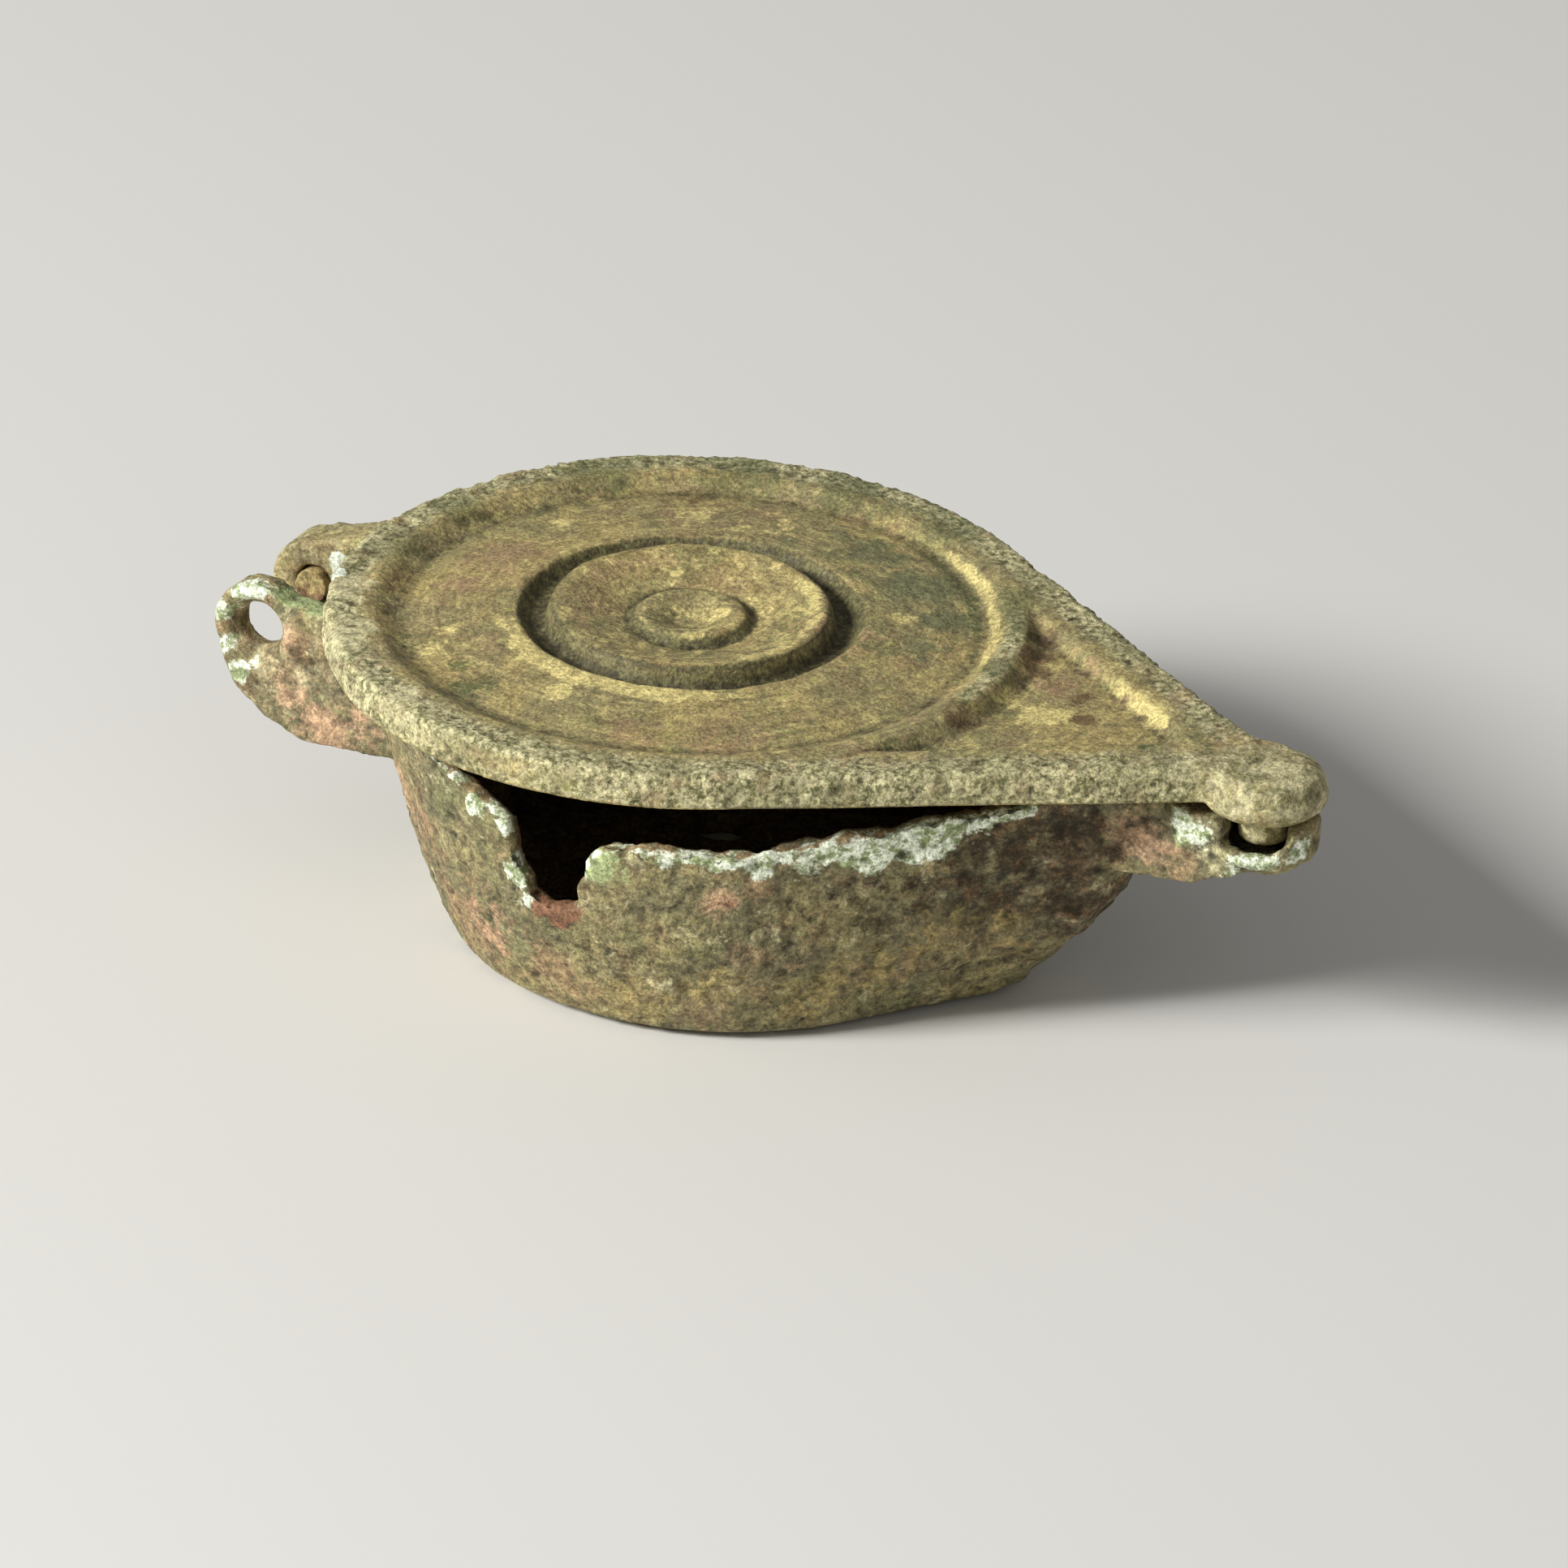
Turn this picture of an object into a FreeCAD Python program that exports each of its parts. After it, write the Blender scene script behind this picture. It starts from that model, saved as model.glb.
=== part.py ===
import FreeCAD, Part
import math
import os
import Sketcher
from FreeCAD import Placement, Rotation, Vector

# Roman seal box: a cast teardrop box, a hinged lid with turned rings, and the pin that joins them.
# Frame: +X from the hinge to the nose, +Z up, origin on the base under the centre of the round end.
# All sizes are millimetres, and each one is set here once.
SIZES = {
    # Box outline, a round end drawn out to a nose, at the base, the belly and the rim
    "base_centre": 2.0,
    "base_radius": 12.3,
    "base_nose_centre": 13.6,
    "base_nose_radius": 3.35,
    "belly_centre": 1.7,
    "belly_radius": 13.25,
    "belly_nose_centre": 16.7,
    "belly_nose_radius": 3.2,
    "belly_height": 4.6,
    "rim_centre": 0.95,
    "rim_radius": 14.55,
    "rim_nose_centre": 21.6,
    "rim_nose_radius": 2.7,
    "rim_height": 12.15,
    "heel_round": 1.35,
    "heel_height": 0.36,
    "heel_inset": 0.48,
    "nose_foot_back": 1.0,
    "nose_heel_back": 0.6,
    "wall": 0.95,
    "floor": 1.0,
    # Cord slots in both long walls
    "slot_centre": 0.8,
    "slot_half_width": 1.2,
    "slot_floor": 6.1,
    "slot_corner": 0.72,
    # Line of the corroded near rim, from the hinge end to the nose, with depths below the rim
    "dip_start_back": 8.6,
    "dip_left_back": 4.4,
    "dip_left_depth": 1.6,
    "dip_slot_back": 2.2,
    "dip_slot_depth": 2.25,
    "dip_slit_back": 0.65,
    "dip_slit_depth": 4.15,
    "dip_foot_in": 0.1,
    "dip_foot_rise": 0.6,
    "dip_corner_out": 0.2,
    "dip_corner_depth": 4.5,
    "dip_shoulder_out": 0.75,
    "dip_shoulder_depth": 3.05,
    "dip_crest_out": 1.4,
    "dip_crest_depth": 2.55,
    "dip_hump_front": 4.1,
    "dip_hump_depth": 2.15,
    "dip_second_front": 7.2,
    "dip_second_depth": 2.45,
    "dip_rise_front": 13.3,
    "dip_rise_depth": 1.25,
    "dip_end_back": 1.3,
    # Holes in the base
    "hole_radius": 1.2,
    "hole_circle": 6.1,
    "hole_count": 3,
    # Hinge, seen along its pin
    "hinge_reach": 3.05,
    "hinge_drop": 2.1,
    "pin_radius": 0.8,
    "pin_clearance": 0.06,
    "eye_wall": 1.25,
    "back_eye_wall": 0.85,
    "worn_bore_step": 0.25,
    "worn_mouth_step": 0.72,
    "worn_mouth_depth": 0.6,
    "worn_mouth_slope": 36.0,
    "lug_shoulder": 0.5,
    "lug_chin_in": 0.15,
    "lug_chin_drop": 0.85,
    "lug_jaw_out": 1.2,
    "lug_jaw_drop": 2.75,
    "lug_heel_in": 0.35,
    "lug_heel_drop": 4.05,
    "lug_toe_in": 2.45,
    "lug_toe_drop": 4.85,
    "lug_root_bite": 0.5,
    "lug_root_rise": 1.2,
    "lug_root_drop": 4.4,
    # How far one form of a casting runs into the next, and how far a cut runs past
    "joint_bite": 0.1,
    "cut_past": 1.0,
    # Hinge, places along the pin
    "front_lug_inner": 3.15,
    "front_lug_width": 1.5,
    "stub_out": 0.3,
    "knuckle_back": 2.65,
    "knuckle_width": 2.15,
    "knuckle_gap": 0.15,
    "back_lug_width": 1.05,
    # Lid plate
    "lid_gap": 0.1,
    "lid_overhang": 1.05,
    "lid_nose_lead": 3.2,
    "lid_nose_radius": 2.1,
    "lid_thickness": 1.6,
    "lid_edge_round": 0.4,
    "knuckle_arm_back": 0.3,
    "knuckle_arm_top": 0.56,
    "knuckle_arm_in": 0.25,
    "knuckle_arm_length": 1.1,
    # Rings of the lid from the centre out, their widths, and their heights against the border
    "dish_floor_radius": 0.7,
    "dish_slope_width": 1.15,
    "dish_depth": 0.44,
    "bead_width": 0.4,
    "bead_depth": 0.04,
    "bead_groove_width": 0.45,
    "bead_groove_depth": 0.44,
    "disc_floor_width": 0.65,
    "disc_floor_depth": 0.28,
    "disc_slope_width": 2.27,
    "lip_width": 0.28,
    "lip_rise": 0.32,
    "lip_groove_near": 0.32,
    "lip_groove_width": 0.66,
    "lip_groove_far": 0.52,
    "lip_groove_depth": 0.6,
    "field_depth": 0.52,
    "field_line_width": 0.3,
    "border_slope": 1.0,
    "border_width": 2.1,
    # Three-sided field towards the nose
    "ridge_width": 0.8,
    "panel_margin": 2.15,
    "panel_tip_back": 2.45,
    "panel_tip_radius": 1.0,
    "panel_depth": 0.55,
    "panel_slope": 50.0,
    # Nose: the lid's knob and peg, and the box's socket
    "knob_lead": 2.5,
    "knob_radius": 2.6,
    "knob_sink": 0.4,
    "knob_drop": 0.16,
    "knob_heel": 0.4,
    "knob_dome_inset": 0.28,
    "knob_dome_drop": 0.95,
    "neck_half_width": 2.0,
    "peg_radius": 1.1,
    "peg_length": 1.5,
    "peg_chamfer": 0.24,
    "peg_clearance": 0.4,
    "socket_wall": 0.9,
    "socket_gap": 0.15,
    "socket_height": 2.4,
    "socket_heel": 0.8,
    "socket_floor": 0.55,
    "tongue_half_width": 2.0,
    "tongue_root_in": 3.6,
    "tongue_root_depth": 4.4,
    "tongue_bend_back": 2.7,
    "tongue_bend_depth": 3.95,
    "break_height": 1.15,
    "break_back": 1.2,
    "break_reach": 1.3,
    "break_front": 2.5,
    "break_top_back": 1.75,
    "break_shoulder_back": 0.85,
    "break_shoulder_height": 1.9,
    "break_side": 0.72,
}

# Sizes that follow from others, because one piece seats on, fits in or clears another
FITS = {
    "underside": "rim_height + lid_gap",
    "lid_top": "underside + lid_thickness",
    "lid_radius": "rim_radius + lid_overhang",
    "lid_nose_centre": "rim_nose_centre + lid_nose_lead",
    "hinge_back": "lid_radius + hinge_reach",
    "hinge_height": "underside - hinge_drop",
    "lug_radius": "pin_radius + eye_wall",
    "back_lug_radius": "pin_radius + back_eye_wall",
    "lug_root": "base_radius - base_centre + lug_root_bite",
    "front_lug_outer": "front_lug_inner + front_lug_width",
    "back_lug_start": "knuckle_back + knuckle_gap",
    "back_lug_end": "back_lug_start + back_lug_width",
    "dish_rim_radius": "dish_floor_radius + dish_slope_width",
    "bead_radius": "dish_rim_radius + bead_width",
    "bead_groove_radius": "bead_radius + bead_groove_width",
    "disc_floor_radius": "bead_groove_radius + disc_floor_width",
    "lip_inner_radius": "disc_floor_radius + disc_slope_width",
    "lip_radius": "lip_inner_radius + lip_width",
    "lip_groove_radius": "lip_radius + lip_groove_near",
    "lip_groove_outer": "lip_groove_radius + lip_groove_width",
    "field_inner_radius": "lip_groove_outer + lip_groove_far",
    "border_inner_radius": "lid_radius - border_width",
    "field_line_outer": "border_inner_radius - border_slope",
    "field_outer_radius": "field_line_outer - field_line_width",
    "ridge_radius": "border_inner_radius + ridge_width",
    "panel_side": "lid_radius - panel_margin",
    "panel_tip_centre": "lid_nose_centre - panel_tip_back",
    "knob_centre": "lid_nose_centre + knob_lead",
    "knob_top": "lid_top - knob_drop",
    "knob_underside": "rim_height - knob_sink",
    "peg_end": "knob_underside - peg_length",
    "socket_radius": "peg_radius + peg_clearance",
    "socket_ring_radius": "socket_radius + socket_wall",
    "socket_top": "knob_underside - socket_gap",
    "socket_bottom": "socket_top - socket_height",
    "tongue_root": "rim_nose_centre - tongue_root_in",
}

os.makedirs("parts", exist_ok=True)
doc = FreeCAD.newDocument("seal_box")
sheet = doc.addObject("Spreadsheet::Sheet", "sizes")
for row, (alias, number) in enumerate(SIZES.items(), start=1):
    sheet.set("A%d" % row, alias)
    sheet.set("B%d" % row, str(number))
    sheet.setAlias("B%d" % row, alias)
for row, (alias, text) in enumerate(FITS.items(), start=len(SIZES) + 1):
    sheet.set("A%d" % row, alias)
    sheet.set("B%d" % row, "=" + text)
    sheet.setAlias("B%d" % row, alias)
doc.recompute()


def value(text):
    """Number that a sum such as "rim_height + lid_gap" comes to."""
    total = 0.0
    sign = 1.0
    for word in text.split():
        if word in ("+", "-"):
            sign = 1.0 if word == "+" else -1.0
        elif word in FITS:
            total += sign * value(FITS[word])
        else:
            total += sign * (SIZES[word] if word in SIZES else float(word))
    return total


def link(text):
    """The same sum as an expression that reads the sheet."""
    words = ["sizes." + word if word in SIZES or word in FITS else word for word in text.split()]
    return " ".join(words if words[0] != "-" else ["0"] + words)


def new_body(name):
    body = doc.addObject("PartDesign::Body", name)
    body.Label = name
    return body


def new_sketch(body, name, role, offset="0"):
    """Sketch on one of the body's origin planes, moved along the plane's own normal."""
    plane = [feature for feature in body.Origin.OriginFeatures if feature.Role == role][0]
    sketch = body.newObject("Sketcher::SketchObject", name)
    sketch.AttachmentSupport = [(plane, "")]
    sketch.MapMode = "FlatFace"
    sketch.AttachmentOffset = Placement(Vector(0, 0, value(offset)), Rotation())
    sketch.setExpression("AttachmentOffset.Base.z", link(offset))
    return sketch


def fix(sketch, kind, parts, text):
    """Dimension of a sketch, tied to a sum of named sizes."""
    index = sketch.addConstraint(Sketcher.Constraint(kind, *parts, value(text)))
    sketch.setExpression("Constraints[%d]" % index, link(text))


def place(sketch, geometry, point, x, y):
    """Fix a point of the sketch at two sums of named sizes."""
    for kind, text in (("DistanceX", x), ("DistanceY", y)):
        if value(text) == 0.0:
            axis = -2 if kind == "DistanceX" else -1
            sketch.addConstraint(Sketcher.Constraint("PointOnObject", geometry, point, axis))
        else:
            fix(sketch, kind, (-1, 1, geometry, point), text)


def draw_circle(sketch, x, y, radius):
    centre = Vector(value(x), value(y), 0)
    circle = sketch.addGeometry(Part.Circle(centre, Vector(0, 0, 1), value(radius)), False)
    place(sketch, circle, 3, x, y)
    fix(sketch, "Radius", (circle,), radius)


def draw_polygon(sketch, corners):
    """Closed outline of straight lines through corners given as pairs of sums."""
    points = [Vector(value(x), value(y), 0) for x, y in corners]
    count = len(points)
    lines = [sketch.addGeometry(Part.LineSegment(points[i], points[(i + 1) % count]), False)
             for i in range(count)]
    for i, line in enumerate(lines):
        sketch.addConstraint(Sketcher.Constraint("Coincident", line, 2, lines[(i + 1) % count], 1))
        place(sketch, line, 1, *corners[i])


def draw_arc(sketch, x, radius, start, end):
    """Arc round a centre on the X axis, between two angles in radians."""
    circle = Part.Circle(Vector(value(x), 0, 0), Vector(0, 0, 1), value(radius))
    return sketch.addGeometry(Part.ArcOfCircle(circle, start, end), False)


def draw_teardrop(sketch, round_centre, round_radius, nose_centre, nose_radius):
    """A round end and a small nose on the X axis, joined by two tangent lines."""
    run = value(nose_centre) - value(round_centre)
    turn = math.acos((value(round_radius) - value(nose_radius)) / run)
    ends = []
    for centre, radius in ((round_centre, round_radius), (nose_centre, nose_radius)):
        for side in (1, -1):
            ends.append(Vector(value(centre) + value(radius) * math.cos(turn),
                               side * value(radius) * math.sin(turn), 0))
    upper_back = draw_arc(sketch, round_centre, round_radius, turn, math.pi)
    lower_back = draw_arc(sketch, round_centre, round_radius, math.pi, 2 * math.pi - turn)
    front = draw_arc(sketch, nose_centre, nose_radius, -turn, turn)
    upper = sketch.addGeometry(Part.LineSegment(ends[0], ends[2]), False)
    lower = sketch.addGeometry(Part.LineSegment(ends[3], ends[1]), False)
    for first, first_point, second, second_point in (
            (upper_back, 1, upper, 1), (upper, 2, front, 2),
            (front, 1, lower, 1), (lower, 2, lower_back, 2)):
        sketch.addConstraint(
            Sketcher.Constraint("Tangent", first, first_point, second, second_point))
    sketch.addConstraint(Sketcher.Constraint("Coincident", upper_back, 2, lower_back, 1))
    sketch.addConstraint(Sketcher.Constraint("Coincident", upper_back, 3, lower_back, 3))
    sketch.addConstraint(Sketcher.Constraint("PointOnObject", upper_back, 2, -1))
    place(sketch, upper_back, 3, round_centre, "0")
    place(sketch, front, 3, nose_centre, "0")
    fix(sketch, "Radius", (upper_back,), round_radius)
    fix(sketch, "Radius", (front,), nose_radius)


def pad(body, name, sketch, length):
    feature = body.newObject("PartDesign::Pad", name)
    feature.Profile = sketch
    feature.setExpression("Length", link(length))
    return feature


def pad_across(body, name, sketch, half_width):
    """Pad of equal reach to both sides of its sketch."""
    feature = pad(body, name, sketch, half_width)
    feature.Length = 2 * value(half_width)
    feature.SideType = "Symmetric"
    feature.setExpression("Length", "2 * (" + link(half_width) + ")")
    return feature


def cut(body, name, sketch, length, forward=False):
    """Pocket against its sketch's normal, or along it, which has to take something away."""
    doc.recompute()
    before = body.Shape.Volume
    feature = body.newObject("PartDesign::Pocket", name)
    feature.Profile = sketch
    feature.Length = value(length)
    feature.setExpression("Length", link(length))
    feature.Reversed = forward
    doc.recompute()
    if body.Shape.Volume > before - 1e-3:
        raise RuntimeError(name + " cuts nothing")
    return feature


def taper(pocket, slope):
    """Walls of a pocket that lean in towards its bottom."""
    pocket.TaperAngle = value("- " + slope)
    pocket.setExpression("TaperAngle", link("- " + slope))


def edges_where(shape, test):
    return ["Edge%d" % (i + 1) for i, edge in enumerate(shape.Edges) if test(edge)]


def round_edges(body, name, base, radius, test):
    """Fillet of every edge of the last feature that passes the test."""
    doc.recompute()
    feature = body.newObject("PartDesign::Fillet", name)
    feature.Base = (base, edges_where(base.Shape, test))
    feature.Radius = value(radius)
    feature.setExpression("Radius", link(radius))
    return feature


def flat_at(height):
    """Test for an edge that lies level at the height of a sum."""
    level = value(height)

    def test(edge):
        box = edge.BoundBox
        return abs(box.ZMin - level) < 1e-3 and abs(box.ZMax - level) < 1e-3
    return test


def loft(body, name, kind, sections):
    """Straight-sided loft between teardrop sections at their own heights."""
    sketches = []
    for label, height, outline in sections:
        sketch = new_sketch(body, name + "_" + label, "XY_Plane", height)
        draw_teardrop(sketch, *outline)
        sketches.append(sketch)
    feature = body.newObject(kind, name)
    feature.Profile = sketches[0]
    feature.Sections = sketches[1:]
    feature.Ruled = True
    return feature


def hinge_profile(sketch, radius):
    """Round eye on the hinge axis."""
    draw_circle(sketch, "- hinge_back", "hinge_height", radius)


def lug_plate(sketch, radius):
    """Cheek from the eye to the box wall, with a full jaw under the eye."""
    draw_polygon(sketch, (
        ("- hinge_back + lug_shoulder", "hinge_height + back_lug_radius - joint_bite"),
        ("- hinge_back - " + radius + " + lug_chin_in", "hinge_height - lug_chin_drop"),
        ("- hinge_back - lug_jaw_out", "hinge_height - lug_jaw_drop"),
        ("- hinge_back + lug_heel_in", "hinge_height - lug_heel_drop"),
        ("- hinge_back + lug_toe_in", "hinge_height - lug_toe_drop"),
        ("- lug_root", "hinge_height - lug_root_drop"),
        ("- lug_root", "hinge_height + lug_root_rise"),
    ))


def turn_at_nose(body, name, profile):
    """Form turned about the upright axis that the knob and the socket share."""
    sketch = new_sketch(body, name + "_profile", "XZ_Plane")
    sketch.setExpression("AttachmentOffset.Base.x", link("knob_centre"))
    draw_polygon(sketch, profile)
    turned = body.newObject("PartDesign::Revolution", name)
    turned.Profile = sketch
    turned.ReferenceAxis = (sketch, ["V_Axis"])
    turned.Angle = 360


def build_box():
    body = new_body("box")
    loft(body, "outside", "PartDesign::AdditiveLoft", (
        ("base", "0", ("base_centre", "base_radius - heel_round",
                       "base_nose_centre - nose_foot_back", "base_nose_radius - heel_round")),
        ("heel", "heel_height", ("base_centre", "base_radius - heel_inset",
                                 "base_nose_centre - nose_heel_back",
                                 "base_nose_radius - heel_inset")),
        ("side", "heel_round", ("base_centre", "base_radius",
                                "base_nose_centre", "base_nose_radius")),
        ("belly", "belly_height", ("belly_centre", "belly_radius",
                                   "belly_nose_centre", "belly_nose_radius")),
        ("rim", "rim_height", ("rim_centre", "rim_radius", "rim_nose_centre", "rim_nose_radius")),
    ))

    lugs = (
        ("front_lug", "front_lug_inner", "front_lug_width", "lug_radius"),
        ("back_lug", "- back_lug_end", "back_lug_width", "back_lug_radius"),
    )
    for name, start, width, radius in lugs:
        cheek = new_sketch(body, name + "_cheek_outline", "XZ_Plane", start)
        lug_plate(cheek, radius)
        pad(body, name + "_cheek", cheek, width)
        eye = new_sketch(body, name + "_eye_outline", "XZ_Plane", start)
        hinge_profile(eye, radius)
        pad(body, name + "_eye", eye, width)

    tongue = new_sketch(body, "tongue_outline", "XZ_Plane")
    draw_polygon(tongue, (
        ("tongue_root", "socket_top"),
        ("tongue_root", "rim_height - tongue_root_depth"),
        ("knob_centre - tongue_bend_back", "rim_height - tongue_bend_depth"),
        ("knob_centre", "socket_bottom"),
        ("knob_centre", "socket_top"),
    ))
    pad_across(body, "tongue", tongue, "tongue_half_width")
    turn_at_nose(body, "socket_ring", (
        ("0", "socket_top"),
        ("0", "socket_bottom"),
        ("socket_ring_radius - socket_heel", "socket_bottom"),
        ("socket_ring_radius", "socket_bottom + socket_heel"),
        ("socket_ring_radius", "socket_top"),
    ))

    loft(body, "inside", "PartDesign::SubtractiveLoft", (
        ("floor", "floor", ("base_centre", "base_radius - wall",
                            "base_nose_centre - nose_heel_back", "base_nose_radius - wall")),
        ("belly", "belly_height", ("belly_centre", "belly_radius - wall",
                                   "belly_nose_centre", "belly_nose_radius - wall")),
        ("rim", "rim_height", ("rim_centre", "rim_radius - wall",
                               "rim_nose_centre", "rim_nose_radius - wall")),
    ))
    doc.recompute()

    bore = new_sketch(body, "pin_bore_outline", "XZ_Plane", "- back_lug_start + cut_past")
    hinge_profile(bore, "pin_radius")
    cut(body, "pin_bore", bore, "back_lug_width + cut_past + cut_past")
    worn = new_sketch(body, "worn_bore_outline", "XZ_Plane", "front_lug_outer + cut_past")
    hinge_profile(worn, "pin_radius + worn_bore_step")
    cut(body, "worn_bore", worn, "front_lug_width + cut_past + cut_past")
    mouth = new_sketch(body, "worn_mouth_outline", "XZ_Plane", "front_lug_outer")
    hinge_profile(mouth, "pin_radius + worn_mouth_step")
    taper(cut(body, "worn_mouth", mouth, "worn_mouth_depth"), "worn_mouth_slope")

    socket = new_sketch(body, "socket_outline", "XY_Plane", "socket_top + cut_past")
    draw_circle(socket, "knob_centre", "0", "socket_radius")
    cut(body, "socket", socket, "socket_height - socket_floor + cut_past")
    broken = new_sketch(body, "broken_wall_outline", "XZ_Plane", "break_side")
    draw_polygon(broken, (
        ("knob_centre - break_back", "socket_bottom + break_height"),
        ("knob_centre + break_reach", "socket_bottom + break_height"),
        ("knob_centre + break_front", "rim_height"),
        ("knob_centre - break_top_back", "rim_height"),
        ("knob_centre - break_shoulder_back", "socket_bottom + break_shoulder_height"),
    ))
    cut(body, "broken_wall", broken, "socket_ring_radius", forward=True)

    cut_cord_slots(body)
    cut_rim_dip(body)
    cut_base_holes(body)
    return body


def cut_cord_slots(body):
    """Round-cornered slots down from the rim, one in each long wall."""
    slot = new_sketch(body, "cord_slot_outline", "XZ_Plane", "rim_radius + rim_nose_radius")
    draw_polygon(slot, (
        ("slot_centre - slot_half_width", "slot_floor"),
        ("slot_centre + slot_half_width", "slot_floor"),
        ("slot_centre + slot_half_width", "rim_height + cut_past"),
        ("slot_centre - slot_half_width", "rim_height + cut_past"),
    ))
    slots = cut(body, "cord_slots", slot,
                "rim_radius + rim_radius + rim_nose_radius + rim_nose_radius")
    at_floor = flat_at("slot_floor")
    round_edges(body, "slot_corners", slots, "slot_corner",
                lambda edge: at_floor(edge) and edge.BoundBox.XLength < 1e-3)


def cut_rim_dip(body):
    """Uneven line where corrosion has taken the near rim away."""
    sketch = new_sketch(body, "rim_dip_outline", "XZ_Plane")
    draw_polygon(sketch, (
        ("rim_centre - dip_start_back", "rim_height"),
        ("rim_centre - dip_left_back", "rim_height - dip_left_depth"),
        ("rim_centre - dip_slot_back", "rim_height - dip_slot_depth"),
        ("slot_centre - slot_half_width - dip_slit_back", "rim_height - dip_slit_depth"),
        ("slot_centre - slot_half_width + dip_foot_in", "slot_floor + dip_foot_rise"),
        ("slot_centre + slot_half_width + dip_corner_out", "rim_height - dip_corner_depth"),
        ("slot_centre + slot_half_width + dip_shoulder_out", "rim_height - dip_shoulder_depth"),
        ("slot_centre + slot_half_width + dip_crest_out", "rim_height - dip_crest_depth"),
        ("rim_centre + dip_hump_front", "rim_height - dip_hump_depth"),
        ("rim_centre + dip_second_front", "rim_height - dip_second_depth"),
        ("rim_centre + dip_rise_front", "rim_height - dip_rise_depth"),
        ("rim_nose_centre - dip_end_back", "rim_height"),
    ))
    cut(body, "rim_dip", sketch, "rim_radius + rim_nose_radius", forward=True)


def cut_base_holes(body):
    """Ring of round holes through the floor, the first one towards the nose."""
    sketch = new_sketch(body, "base_hole_outline", "XY_Plane", "floor + cut_past")
    sketch.setExpression("AttachmentOffset.Base.x", link("base_centre"))
    draw_circle(sketch, "hole_circle", "0", "hole_radius")
    hole = cut(body, "base_hole", sketch, "floor + cut_past + cut_past")
    ring = body.newObject("PartDesign::PolarPattern", "base_holes")
    ring.Originals = [hole]
    ring.Axis = (sketch, ["N_Axis"])
    ring.Angle = 360
    ring.Occurrences = SIZES["hole_count"]
    ring.setExpression("Occurrences", link("hole_count"))
    body.Tip = ring


def build_lid():
    body = new_body("lid")
    plate = new_sketch(body, "plate_outline", "XY_Plane", "underside")
    draw_teardrop(plate, "0", "lid_radius", "lid_nose_centre", "lid_nose_radius")
    plate_pad = pad(body, "plate", plate, "lid_thickness")
    round_edges(body, "plate_edge", plate_pad, "lid_edge_round", flat_at("lid_top"))

    boss = new_sketch(body, "boss_outline", "XY_Plane", "lid_top")
    draw_circle(boss, "0", "0", "lip_groove_radius")
    pad(body, "boss", boss, "lip_rise")
    turn_rings(body)
    panel = new_sketch(body, "nose_panel_outline", "XY_Plane", "lid_top")
    draw_panel(panel)
    taper(cut(body, "nose_panel", panel, "panel_depth"), "panel_slope")

    neck = new_sketch(body, "neck_outline", "XY_Plane", "underside")
    draw_polygon(neck, (
        ("lid_nose_centre - lid_nose_radius", "neck_half_width"),
        ("lid_nose_centre - lid_nose_radius", "- neck_half_width"),
        ("knob_centre", "- neck_half_width"),
        ("knob_centre", "neck_half_width"),
    ))
    pad(body, "neck", neck, "lid_thickness - knob_drop")
    turn_at_nose(body, "knob", (
        ("0", "knob_top"),
        ("0", "peg_end"),
        ("peg_radius - peg_chamfer", "peg_end"),
        ("peg_radius", "peg_end + peg_chamfer"),
        ("peg_radius", "knob_underside"),
        ("knob_radius - knob_heel", "knob_underside"),
        ("knob_radius", "knob_underside + knob_heel"),
        ("knob_radius", "knob_top - knob_dome_drop"),
        ("knob_radius - knob_dome_inset", "knob_top - knob_dome_inset"),
        ("knob_radius - knob_dome_drop", "knob_top"),
    ))
    add_knuckle(body)
    return body


def turn_rings(body):
    """One turned profile: centre dish, bead, groove, dished disc, lip, groove and sloping field."""
    profile = new_sketch(body, "ring_profile", "XZ_Plane")
    draw_polygon(profile, (
        ("0", "lid_top + lip_rise + cut_past"),
        ("0", "lid_top - dish_depth"),
        ("dish_floor_radius", "lid_top - dish_depth"),
        ("dish_rim_radius", "lid_top - bead_depth"),
        ("bead_radius", "lid_top - bead_depth"),
        ("bead_groove_radius", "lid_top - bead_groove_depth"),
        ("disc_floor_radius", "lid_top - disc_floor_depth"),
        ("lip_inner_radius", "lid_top + lip_rise"),
        ("lip_radius", "lid_top + lip_rise"),
        ("lip_groove_radius", "lid_top - lip_groove_depth"),
        ("lip_groove_outer", "lid_top - lip_groove_depth"),
        ("field_inner_radius", "lid_top"),
        ("field_outer_radius", "lid_top - field_depth"),
        ("field_line_outer", "lid_top - field_depth"),
        ("border_inner_radius", "lid_top"),
        ("border_inner_radius", "lid_top + lip_rise + cut_past"),
    ))
    doc.recompute()
    before = body.Shape.Volume
    rings = body.newObject("PartDesign::Groove", "rings")
    rings.Profile = profile
    rings.ReferenceAxis = (profile, ["V_Axis"])
    rings.Angle = 360
    doc.recompute()
    if body.Shape.Volume > before - 1e-3:
        raise RuntimeError("rings cut nothing")


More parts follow.
